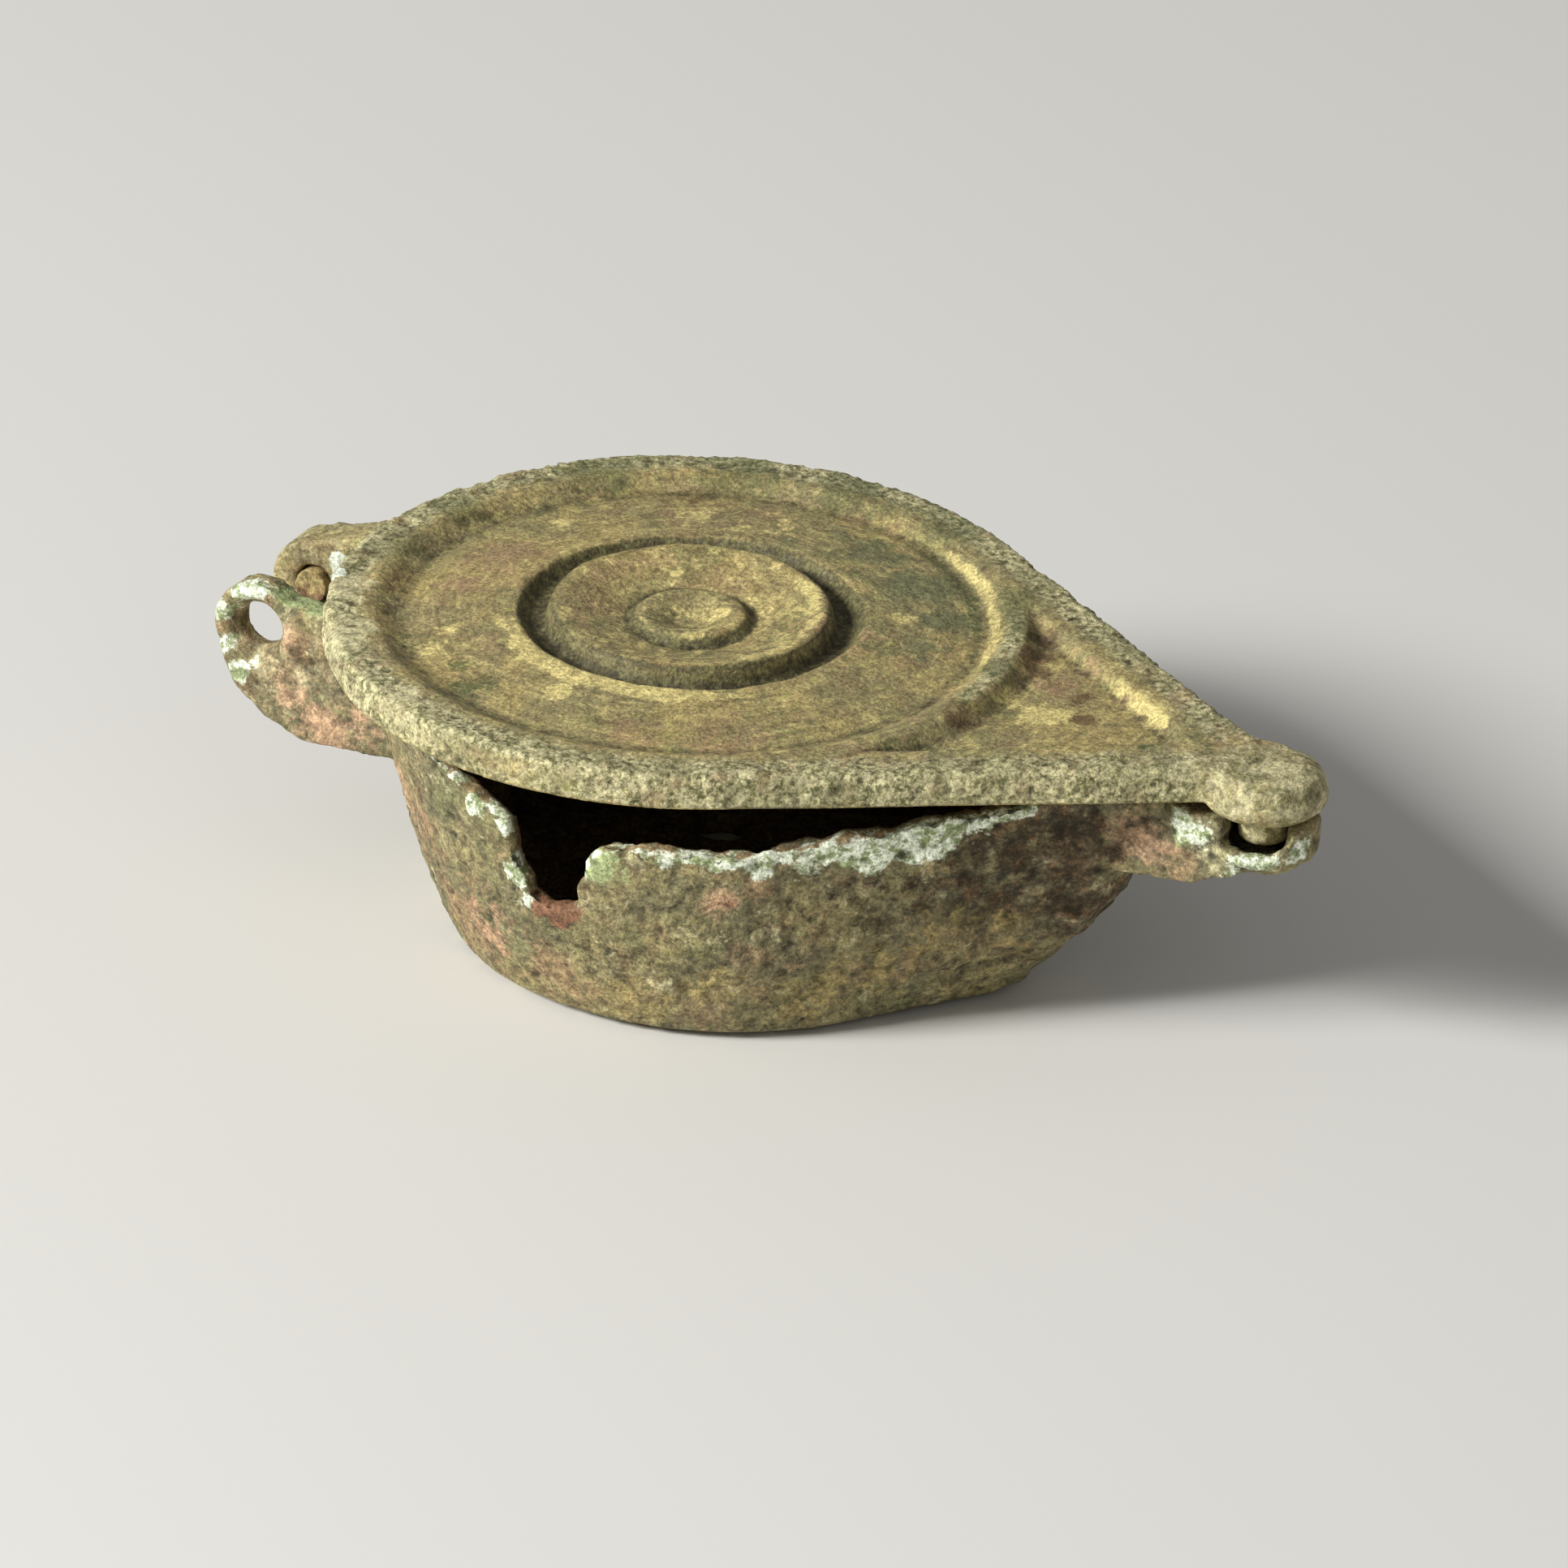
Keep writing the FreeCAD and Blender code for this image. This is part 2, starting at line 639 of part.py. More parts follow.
def draw_panel(sketch):
    """Three-sided field: an arc round the rings and two sides parallel to the lid's edge."""
    tip_x = value("panel_tip_centre")
    tip_radius = value("panel_tip_radius")
    side = value("panel_side")
    ridge = value("ridge_radius")
    turn = math.acos((side - tip_radius) / tip_x)
    start = turn - math.acos(side / ridge)
    arc = draw_arc(sketch, "0", "ridge_radius", -start, start)
    tip = draw_arc(sketch, "panel_tip_centre", "panel_tip_radius", -turn, turn)
    ends = []
    for side_sign in (1, -1):
        root = Vector(ridge * math.cos(start), side_sign * ridge * math.sin(start), 0)
        point = Vector(tip_x + tip_radius * math.cos(turn),
                       side_sign * tip_radius * math.sin(turn), 0)
        ends.append((root, point))
    upper = sketch.addGeometry(Part.LineSegment(*ends[0]), False)
    lower = sketch.addGeometry(Part.LineSegment(ends[1][1], ends[1][0]), False)
    guide = sketch.addGeometry(Part.Circle(Vector(0, 0, 0), Vector(0, 0, 1), side), True)
    sketch.addConstraint(Sketcher.Constraint("Coincident", arc, 2, upper, 1))
    sketch.addConstraint(Sketcher.Constraint("Coincident", arc, 1, lower, 2))
    sketch.addConstraint(Sketcher.Constraint("Tangent", upper, 2, tip, 2))
    sketch.addConstraint(Sketcher.Constraint("Tangent", tip, 1, lower, 1))
    sketch.addConstraint(Sketcher.Constraint("Tangent", upper, guide))
    sketch.addConstraint(Sketcher.Constraint("Tangent", lower, guide))
    place(sketch, arc, 3, "0", "0")
    place(sketch, guide, 3, "0", "0")
    place(sketch, tip, 3, "panel_tip_centre", "0")
    fix(sketch, "Radius", (arc,), "ridge_radius")
    fix(sketch, "Radius", (guide,), "panel_side")
    fix(sketch, "Radius", (tip,), "panel_tip_radius")


def add_knuckle(body):
    """The lid's single hinge eye, on an arm that leaves the plate's edge."""
    start = "- knuckle_back"
    arm = new_sketch(body, "knuckle_arm_outline", "XZ_Plane", start)
    draw_polygon(arm, (
        ("- hinge_back - knuckle_arm_back", "hinge_height + lug_radius - joint_bite"),
        ("- lid_radius + knuckle_arm_in", "lid_top - knuckle_arm_top"),
        ("- lid_radius + knuckle_arm_in + knuckle_arm_length", "lid_top - knuckle_arm_top"),
        ("- lid_radius + knuckle_arm_in + knuckle_arm_length", "underside"),
        ("- lid_radius + knuckle_arm_in", "underside"),
        ("- hinge_back + lug_radius - joint_bite", "hinge_height"),
    ))
    pad(body, "knuckle_arm", arm, "knuckle_width")
    eye = new_sketch(body, "knuckle_eye_outline", "XZ_Plane", start)
    hinge_profile(eye, "lug_radius")
    pad(body, "knuckle_eye", eye, "knuckle_width")
    bore = new_sketch(body, "knuckle_bore_outline", "XZ_Plane", start + " - cut_past")
    hinge_profile(bore, "pin_radius + pin_clearance")
    cut(body, "knuckle_bore", bore, "knuckle_width + cut_past + cut_past", forward=True)


def build_hinge_pin():
    body = new_body("hinge_pin")
    section = new_sketch(body, "pin_section", "XZ_Plane", "- back_lug_end")
    hinge_profile(section, "pin_radius")
    pad(body, "pin", section, "back_lug_end - knuckle_back + knuckle_width + stub_out")
    return body


def check_and_write(pieces):
    """Stop on any failed object, then write each piece to its own file."""
    doc.recompute()
    for obj in doc.Objects:
        if "Invalid" in obj.State or "Error" in obj.State:
            raise RuntimeError(obj.Name + " failed")
    for piece in pieces:
        shape = piece.Shape
        if shape.isNull() or not shape.isValid() or len(shape.Solids) != 1:
            raise RuntimeError(piece.Label + " is not one valid solid")
        print("%s: %.1f mm3, %s" % (piece.Label, shape.Volume, shape.BoundBox))
        shape.exportStep("parts/" + piece.Label + ".step")


check_and_write([build_box(), build_lid(), build_hinge_pin()])
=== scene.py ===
import math
from types import SimpleNamespace

import bpy
import numpy as np
from bpy.props import FloatProperty, FloatVectorProperty, PointerProperty
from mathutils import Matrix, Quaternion, Vector


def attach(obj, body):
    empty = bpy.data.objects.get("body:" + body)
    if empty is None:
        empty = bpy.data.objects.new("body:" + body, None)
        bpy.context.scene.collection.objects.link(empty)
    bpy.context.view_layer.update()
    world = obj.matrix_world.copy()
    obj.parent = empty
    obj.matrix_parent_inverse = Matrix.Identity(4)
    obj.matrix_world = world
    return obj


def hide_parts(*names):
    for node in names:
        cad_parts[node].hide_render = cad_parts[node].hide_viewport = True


bl_info = {
    "name": "Roman Seal Box",
    "version": (1, 0, 0),
    "blender": (4, 5, 0),
    "location": "3D View > Sidebar > Seal Box",
    "description": "Dresses the castings of a small hinged seal box with wear, pits and patina",
    "category": "Object",
}

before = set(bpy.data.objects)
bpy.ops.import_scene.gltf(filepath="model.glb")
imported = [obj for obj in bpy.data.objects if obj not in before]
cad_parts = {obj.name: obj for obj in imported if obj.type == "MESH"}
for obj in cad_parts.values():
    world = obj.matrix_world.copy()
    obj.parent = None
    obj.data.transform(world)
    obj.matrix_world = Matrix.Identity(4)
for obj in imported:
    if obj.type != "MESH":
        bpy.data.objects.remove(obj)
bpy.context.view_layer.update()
MM = 0.001

# Places and radii on the castings, in millimetres in the object's own frame. All of the lid's
# upper face lies above TOP_FACE_FROM, and its nose is given as its centre along X and its radius.
LID_TOP = 13.85
TOP_FACE_FROM = 13.0
LID_RADIUS = 15.6
LID_NOSE = (24.8, 2.1)
KNOB_X = 27.3
HINGE_PLACE = (-18.65, 10.15)

# Radii of the rings turned on the lid, from the small groove outside the bead to the ridge
BEAD_GROOVE_RADIUS = 2.6
DISC_RADIUS = 5.6
DEEP_GROOVE_RADIUS = 6.6
FIELD_LINE_RADIUS = 12.2
SLOPE_RADIUS = 12.95
RIDGE_RADIUS = 13.75

# How finely the turning marks follow each other outwards, and how short they are round the turn
TURNING_PITCH = 1.6
TURNING_LENGTH = 2.2

WEIGHT_STEPS = 32
WELD_REACH = 1e-6

# Line of the broken near rim, as places along X, heights, and how far its pale crust runs down
BREAK_X = (-7.6, -3.4, -1.2, -1.0, -0.4, 2.0, 2.8, 3.4, 5.0, 8.1, 10.0, 12.5, 14.2, 17.0, 20.3)
BREAK_Z = (12.1, 10.6, 9.9, 8.0, 6.2, 6.2, 9.1, 9.6, 10.0, 9.7, 10.05, 10.55, 10.9, 11.5, 12.1)
CRUST_DEPTH = (0.15, 0.3, 0.3, 0.5, 0.02, 0.02, 0.15, 0.3, 0.5, 0.6, 0.9, 1.4, 1.6, 1.0, 0.3)

# Stains on the lid, as soft round patches: x, y, z, reach and strength; some in the nose panel are
# partly painted light
LID_STAINS = {
    "straw": (
        (-8.2, -7.6, 13.4, 2.6, 0.42), (-5.9, -5.4, 13.6, 1.0, 0.75),
        # Straw patches with x from 15 to 22 lie in the nose panel and are partly painted highlight
        # on its lit right wall
        (-1.0, 9.6, 13.4, 3.0, 0.42), (-4.5, 8.6, 13.4, 1.2, 0.6), (17.3, 0.3, 13.3, 0.8, 1.0),
        (20.2, 2.3, 13.5, 0.9, 1.0), (21.6, 1.4, 13.6, 0.6, 1.0), (18.8, 3.4, 13.6, 0.8, 0.8),
        (16.6, -0.2, 13.4, 1.2, 0.95), (15.2, 0.2, 13.4, 0.8, 0.8), (21.2, 2.0, 13.4, 1.0, 0.9),
        (20.0, 3.0, 13.4, 0.9, 0.8), (18.0, 4.9, 13.4, 0.9, 0.8), (16.2, 6.0, 13.4, 0.8, 0.7),
        (-1.3, -9.3, 13.4, 0.8, 0.85), (-4.2, -7.5, 13.4, 0.8, 0.7), (7.7, 4.4, 13.4, 0.9, 0.75),
        (8.8, -9.3, 13.4, 1.0, 0.6), (1.0, 0.6, 13.5, 1.1, 0.7), (-2.4, 2.8, 13.7, 0.8, 0.6),
        (3.6, 4.8, 14.1, 1.4, 0.55), (-9.0, 5.2, 13.4, 1.0, 0.6)),
    # Brown on the lid's hinge knuckle, which sits between the box's lugs
    "hinge_brown": (
        (-18.9, 0.4, 11.4, 1.1, 1.0), (-19.4, 0.4, 10.4, 1.0, 0.9), (-18.2, 0.4, 10.2, 1.2, 0.8),
        (-18.0, 0.4, 12.0, 0.6, 0.7)),
    "brown": (
        # Brown patches near x 14 lie in the nose panel's hollow and are partly painted shade on its
        # left wall
        (13.8, 6.1, 13.4, 1.0, 0.9), (14.3, 4.6, 13.4, 0.9, 0.9), (14.9, 3.4, 13.4, 0.8, 0.8),
        (13.6, 5.9, 13.4, 0.8, 1.0), (13.9, 4.0, 13.7, 0.8, 1.0), (17.5, 2.0, 13.4, 0.9, 0.6),
        (18.5, 0.4, 13.3, 0.6, 1.2), (-8.4, 4.4, 13.4, 1.2, 0.5), (14.1, -2.7, 13.6, 1.2, 0.75),
        (1.3, -2.5, 13.6, 0.7, 0.6), (-5.6, 10.3, 13.4, 1.4, 0.6)),
    "rose": (
        (-9.5, 1.0, 13.4, 2.2, 0.75), (-10.0, -2.6, 13.4, 1.6, 0.6), (5.6, 1.1, 13.6, 1.6, 0.8),
        (7.7, 1.6, 13.4, 1.4, 0.7), (2.9, -10.5, 13.4, 1.8, 0.6), (6.5, -9.3, 13.4, 2.4, 0.55),
        (-3.6, -1.6, 13.6, 1.6, 0.6), (16.4, 2.6, 13.4, 1.4, 0.7), (16.9, 4.6, 13.4, 1.0, 0.6),
        (-5.0, 8.2, 13.4, 1.3, 0.6), (-2.0, 10.6, 13.4, 1.2, 0.6), (24.6, -1.6, 13.6, 1.2, 0.6)),
    "sage": (
        (3.9, 9.5, 13.4, 1.8, 0.9), (6.9, 7.6, 13.4, 2.0, 1.0), (1.9, 11.0, 13.4, 1.4, 0.5),
        (9.3, 5.5, 13.4, 1.6, 0.9), (9.9, 2.6, 13.4, 1.4, 0.6), (0.4, 8.2, 13.4, 1.0, 0.6),
        (3.0, -9.6, 13.4, 1.4, 0.5), (-7.5, -2.4, 13.4, 1.6, 0.5)),
    "moss": (
        (-5.0, -10.5, 13.4, 0.9, 1.0), (-4.4, -9.9, 13.4, 0.7, 0.9),
        (-6.4, -8.9, 13.4, 0.6, 0.7), (22.3, -1.2, 13.8, 0.7, 0.9),
        (20.6, -2.0, 13.8, 0.6, 0.7)),
    "cream": (
        (-14.2, -5.4, 13.8, 1.8, 0.8), (-11.6, -9.6, 13.8, 1.8, 0.7),
        (-6.4, -13.6, 13.6, 1.6, 0.6), (24.2, -1.8, 13.6, 1.2, 0.7)),
    "film": (
        (-9.9, 10.1, 13.8, 2.2, 0.9), (-4.9, 13.2, 13.8, 2.4, 0.9), (0.6, 14.3, 13.8, 2.2, 0.9),
        (5.6, 12.6, 13.8, 2.2, 0.8), (11.4, 8.4, 13.8, 1.6, 0.7), (-13.7, -0.3, 13.8, 1.8, 0.8),
        (-13.4, 3.8, 13.8, 1.8, 0.7), (14.4, -1.0, 13.8, 1.4, 0.6), (13.6, 2.0, 13.7, 1.4, 0.8),
        (12.6, 6.0, 13.7, 1.4, 0.8)),
    "mint": (
        (-17.5, 0.4, 11.5, 0.6, 1.0), (-17.5, 0.4, 10.8, 0.4, 0.8),
        (-14.9, -4.4, 13.5, 0.7, 1.1), (27.0, -2.4, 12.6, 0.5, 0.4),
        (-12.0, 9.6, 13.9, 0.3, 1.0)),
}

# Stains on the box, given in the same way; some of them are partly painted light
BOX_STAINS = {
    "mint": (
        (6.0, -13.2, 9.3, 0.6, 1.0), (5.2, -13.5, 9.6, 0.5, 0.7), (8.0, -12.3, 9.4, 0.6, 0.8),
        (9.6, -11.2, 9.0, 0.7, 1.0), (10.8, -10.3, 9.2, 0.7, 1.0), (13.3, -8.5, 9.3, 0.9, 1.1),
        (14.5, -7.6, 9.6, 0.9, 1.2), (15.3, -7.1, 9.7, 0.8, 1.0), (16.2, -6.6, 10.4, 0.8, 1.0),
        (17.2, -6.1, 10.9, 0.6, 0.8), (-0.8, -13.4, 6.6, 0.5, 1.1), (-1.3, -13.4, 7.0, 0.5, 0.9),
        (-0.5, -13.3, 5.8, 0.4, 1.0), (-1.3, -13.8, 9.1, 0.5, 1.0), (-2.9, -13.5, 9.7, 0.6, 0.7),
        (-9.8, -9.6, 11.4, 0.8, 0.8), (-10.3, -9.0, 10.0, 0.6, 0.6),
        (-20.6, -4.4, 10.6, 0.8, 0.9), (-19.2, -4.6, 11.9, 0.8, 0.9),
        (-18.3, -4.6, 12.2, 0.7, 0.7), (-20.4, -4.6, 9.1, 0.7, 0.8),
        (-19.4, -4.7, 7.9, 0.6, 1.2), (-18.6, -4.7, 8.6, 0.4, 0.7), (27.5, -2.3, 9.9, 0.7, 1.0),
        (28.5, -2.1, 10.3, 0.6, 0.8), (26.9, -2.2, 9.2, 0.6, 0.8), (24.5, -2.0, 11.1, 0.7, 0.9),
        (25.3, -2.0, 10.8, 0.7, 0.9), (29.6, -1.2, 10.6, 0.7, 0.7)),
    "rose": (
        (24.4, -2.0, 8.9, 1.3, 0.8), (21.6, -2.0, 9.0, 1.2, 0.7), (-16.6, -4.6, 10.0, 0.8, 0.9),
        (-16.8, -4.6, 8.4, 0.9, 0.8), (-4.4, -10.8, 2.8, 3.0, 0.8), (0.8, -12.4, 2.2, 2.2, 0.7),
        (-7.5, -11.0, 6.0, 3.0, 0.7), (8.1, -12.2, 7.4, 1.0, 0.9), (9.5, -11.3, 8.0, 0.9, 0.9),
        (-18.5, -4.6, 7.4, 1.4, 0.6)),
    "cream": (
        (-17.4, -4.6, 10.6, 0.8, 0.8), (-16.4, -4.6, 8.4, 0.8, 0.7),
        (26.0, -2.0, 9.8, 1.1, 0.6)),
    "blush": (
        (22.5, -2.0, 10.0, 1.2, 1.1), (23.2, -2.0, 9.4, 0.9, 1.0), (21.7, -2.7, 10.8, 0.9, 0.7),
        (-15.0, -4.7, 6.7, 1.6, 0.9), (-16.6, -4.7, 7.7, 1.0, 0.75),
        (-17.1, -4.7, 10.4, 0.7, 0.9), (-13.6, -4.7, 6.8, 1.2, 0.8),
        (-2.8, -11.6, 3.4, 1.6, 0.62), (-9.0, -9.6, 6.6, 2.0, 0.6),
        (8.1, -12.2, 7.5, 0.8, 0.75)),
    "leaf": (
        (-17.0, -3.7, 11.8, 1.0, 1.2), (-15.9, -3.7, 11.6, 1.0, 1.2),
        (-4.6, -12.4, 9.8, 0.9, 0.6), (3.4, -13.8, 8.9, 1.3, 0.9), (12.4, -9.1, 9.4, 0.7, 0.9),
        (24.6, -2.0, 10.8, 0.9, 0.8)),
    # Umber patches: partly dark earth, partly painted shade on the bowl's right side and nose
    "umber_and_shade": (
        (15.5, -6.5, 7.4, 1.6, 0.6), (17.8, -4.5, 8.6, 2.4, 0.8), (20.0, -3.2, 9.0, 2.0, 0.85),
        (14.9, -7.4, 10.3, 0.3, 1.1), (1.6, -13.1, 4.2, 0.8, 0.52),
        (-16.1, -4.7, 9.5, 0.8, 0.55)),
    "rust": (
        (0.3, -13.3, 5.9, 0.8, 1.2), (1.1, -13.4, 5.7, 0.8, 1.3), (1.7, -13.5, 5.9, 0.7, 1.2),
        (0.9, -12.9, 6.2, 0.9, 1.2), (1.4, -13.1, 4.4, 0.7, 0.5), (8.6, -12.0, 7.2, 0.4, 0.8)),
    # The ochre patches are partly golden patina and partly painted highlight low on the bowl
    "ochre": (
        (7.5, -11.5, 2.8, 1.6, 0.75), (4.4, -12.0, 1.8, 1.4, 0.7), (11.4, -8.6, 2.5, 2.0, 0.6),
        (15.4, -5.8, 4.8, 1.8, 0.62), (17.6, -3.8, 4.6, 1.6, 0.62), (13.2, -6.9, 3.4, 1.8, 0.6),
        (-6.0, -9.6, 1.4, 1.2, 0.6)),
}


def linear(code):
    """Scene colour for a screen colour written as six hexadecimal digits."""
    parts = [int(code[i:i + 2], 16) / 255 for i in (0, 2, 4)]
    return tuple(c / 12.92 if c <= 0.04045 else ((c + 0.055) / 1.055) ** 2.4 for c in parts)


def colour_property(name, description, code):
    return FloatVectorProperty(name=name, description=description, default=linear(code),
                               subtype="COLOR", size=3, min=0, max=1)


def length_property(name, description, default):
    return FloatProperty(name=name, description=description, default=default, min=0,
                         precision=5, unit="LENGTH")


class SEALBOX_PG_wear(bpy.types.PropertyGroup):
    lid_grain: length_property("Lid detail", "Finest form modelled on the lid", 0.00016)
    box_grain: length_property("Box detail", "Finest form modelled on the box", 0.000212)
    pin_grain: length_property("Pin detail", "Finest form modelled on the pin", 0.00012)
    warp: length_property("Warp", "How far the cast surfaces wander", 0.00022)
    pits: length_property("Pits", "Depth of the pits in the lid's border", 0.00026)
    scale: length_property("Scale", "Depth of the corrosion on the bowl", 0.00022)
    fracture: length_property("Fracture", "Unevenness of the broken rim", 0.0007)
    rust: length_property("Rust", "Depth of the rust on the pin", 0.0001)


class SEALBOX_PG_patina(bpy.types.PropertyGroup):
    ochre: colour_property("Ochre", "Smooth patina of the lid's fields", "AE9C66")
    khaki: colour_property("Khaki", "Greyer patina of the lid's fields", "968B60")
    earth: colour_property("Earth", "Ground colour of the bowl", "7F7856")
    olive: colour_property("Olive", "Dull green-brown patina", "7A7A50")
    sage: colour_property("Sage", "Grey-green film", "6A7050")
    # Brown, rose and straw also stand for painted light on the lid: shade on the left slope and the
    # disc's left side, highlight on the right slope and the disc's right edge
    brown: colour_property("Brown", "Reddish brown in the sheltered places", "6B5438")
    rose: colour_property("Rose", "Pinkish brown, copper-rich crust", "A08462")
    straw: colour_property("Straw", "Bright worn patches", "DCCB86")
    cream: colour_property("Cream", "Chalky crust on the rough border", "D2C99C")
    mint: colour_property("Mint", "Pale corrosion on broken metal", "E6ECD6")
    leaf: colour_property("Leaf", "Pale green crust on the lug", "B4C28A")
    moss: colour_property("Moss", "Green stains", "4F5C36")
    soil: colour_property("Soil", "Dirt left in the grooves", "4E4830")
    # Umber is partly dark earth and partly painted shade on the bowl's dim right side and nose
    umber_and_shade: colour_property("Umber", "Dark earth on the bowl's nose", "3C2C16")
    dark: colour_property("Dark", "Bottoms of pits", "2C2618")
    rust: colour_property("Rust", "Red clay and iron stain", "8C6248")
    lime: colour_property("Lime", "Yellow-green flecks in the lid's fields", "BCBB6E")
    blush: colour_property("Blush", "Bright copper-pink patches on the box", "CBA482")
    sludge: colour_property("Sludge", "Olive dirt packed round the lid's disc", "757148")


class SEALBOX_PG_stage(bpy.types.PropertyGroup):
    floor: colour_property("Floor", "Colour of the floor and the background", "DEDCD6")
    key: FloatProperty(name="Key light", description="Power of the light from the upper left",
                       default=6.6, min=0, unit="POWER")
    fill: FloatProperty(name="Fill light", description="Power of the light from the right",
                        default=0.25, min=0, unit="POWER")
    sky: FloatProperty(name="Sky", description="Strength of the light from all round",
                       default=0.24, min=0)


def pick(obj):
    bpy.ops.object.select_all(action="DESELECT")
    obj.select_set(True)
    bpy.context.view_layer.objects.active = obj


def apply_modifier(obj, kind, name, **settings):
    modifier = obj.modifiers.new(name, kind)
    for key, value in settings.items():
        setattr(modifier, key, value)
    pick(obj)
    bpy.ops.object.modifier_apply(modifier=name)


def casting_from(node, name, grain):
    """Copy of a node's mesh, joined up and remeshed evenly so that it can be worn."""
    piece = bpy.data.objects.new(name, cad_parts[node].data.copy())
    piece.data.name = name
    piece.data.materials.clear()
    bpy.context.scene.collection.objects.link(piece)
    pick(piece)
    bpy.ops.object.mode_set(mode="EDIT")
    bpy.ops.mesh.select_all(action="SELECT")
    bpy.ops.mesh.remove_doubles(threshold=WELD_REACH)
    bpy.ops.object.mode_set(mode="OBJECT")
    apply_modifier(piece, "REMESH", "even", mode="VOXEL", voxel_size=grain)
    return piece


def soften(piece):
    """Rounds off the small steps that remeshing leaves."""
    apply_modifier(piece, "SMOOTH", "soften", factor=0.5, iterations=2)


def points_of(piece):
    """Vertex places in millimetres."""
    places = np.empty(len(piece.data.vertices) * 3, dtype=np.float32)
    piece.data.vertices.foreach_get("co", places)
    return places.reshape(-1, 3).astype(float) / MM


def normals_of(piece):
    normals = np.empty(len(piece.data.vertices) * 3, dtype=np.float32)
    piece.data.vertices.foreach_get("normal", normals)
    return normals.reshape(-1, 3).astype(float)


def step(values, low, high):
    """Smooth rise from 0 at low to 1 at high."""
    t = np.clip((values - low) / (high - low), 0, 1)
    return t * t * (3 - 2 * t)


def spots(points, places):
    """Soft round patches: the strongest of several, each given as x, y, z, reach and strength."""
    total = np.zeros(len(points))
    for x, y, z, reach, strength in places:
        away = np.linalg.norm(points - np.array((x, y, z)), axis=1)
        total = np.maximum(total, strength * np.exp(-(away / reach) ** 2))
    return total


def ring(reach, radius, width, sharp=2):
    """Soft ring round the lid's centre."""
    return np.exp(-((reach - radius) / width) ** sharp)


def sector(angle, middle, half):
    """Soft part of a turn, in degrees."""
    return np.exp(-((angle - middle) / half) ** 4)


def lid_inset(points):
    """How far each point lies in from the teardrop outline of the lid, seen from above."""
    nose_x, nose_radius = LID_NOSE
    turn = math.acos((LID_RADIUS - nose_radius) / nose_x)
    across = np.abs(points[:, 1])
    angle = np.arctan2(across, points[:, 0])
    out = np.where(angle > turn, np.hypot(points[:, 0], across),
                   points[:, 0] * math.cos(turn) + across * math.sin(turn))
    beyond = np.arctan2(across, points[:, 0] - nose_x) < turn
    nose = LID_RADIUS - nose_radius + np.hypot(points[:, 0] - nose_x, across)
    return LID_RADIUS - np.where(beyond & (points[:, 0] > nose_x), nose, out)


def weigh(piece, name, weights):
    """Vertex group from an array of weights, rounded to WEIGHT_STEPS steps."""
    group = piece.vertex_groups.new(name=name)
    levels = np.round(np.clip(weights, 0, 1) * WEIGHT_STEPS).astype(int)
    for level in range(1, WEIGHT_STEPS + 1):
        chosen = np.flatnonzero(levels == level)
        if len(chosen):
            group.add(chosen.tolist(), level / WEIGHT_STEPS, "REPLACE")


def wear(piece, name, size, depth, middle, group, octaves, direction="NORMAL"):
    """Moves the surface by a procedural texture whose grain is size millimetres."""
    texture = bpy.data.textures.new(name, "CLOUDS")
    texture.noise_scale = size * MM
    texture.noise_depth = octaves
    apply_modifier(piece, "DISPLACE", name, texture=texture, texture_coords="LOCAL",
                   strength=depth, mid_level=middle, vertex_group=group, direction=direction)


def store(piece, name, values):
    layer = piece.data.attributes.new(name, "FLOAT", "POINT")
    layer.data.foreach_set("value", np.asarray(values, dtype=np.float32))


def store_places(piece, name, places):
    layer = piece.data.attributes.new(name, "FLOAT_VECTOR", "POINT")
    layer.data.foreach_set("vector", np.asarray(places, dtype=np.float32).ravel())


def hollow(piece, rounds):
    """How far each point lies below its surroundings, in millimetres."""
    mesh = piece.data
    ends = np.empty(len(mesh.edges) * 2, dtype=np.int32)
    mesh.edges.foreach_get("vertices", ends)
    ends = ends.reshape(-1, 2)
    count = len(mesh.vertices)
    near = np.bincount(ends.ravel(), minlength=count)
    points = points_of(piece)
    around = points.copy()
    for _ in range(rounds):
        total = np.zeros_like(around)
        for axis in range(3):
            total[:, axis] = (
                np.bincount(ends[:, 0], weights=around[ends[:, 1], axis], minlength=count)
                + np.bincount(ends[:, 1], weights=around[ends[:, 0], axis], minlength=count))
        around = total / near[:, None]
    return ((around - points) * normals_of(piece)).sum(axis=1)


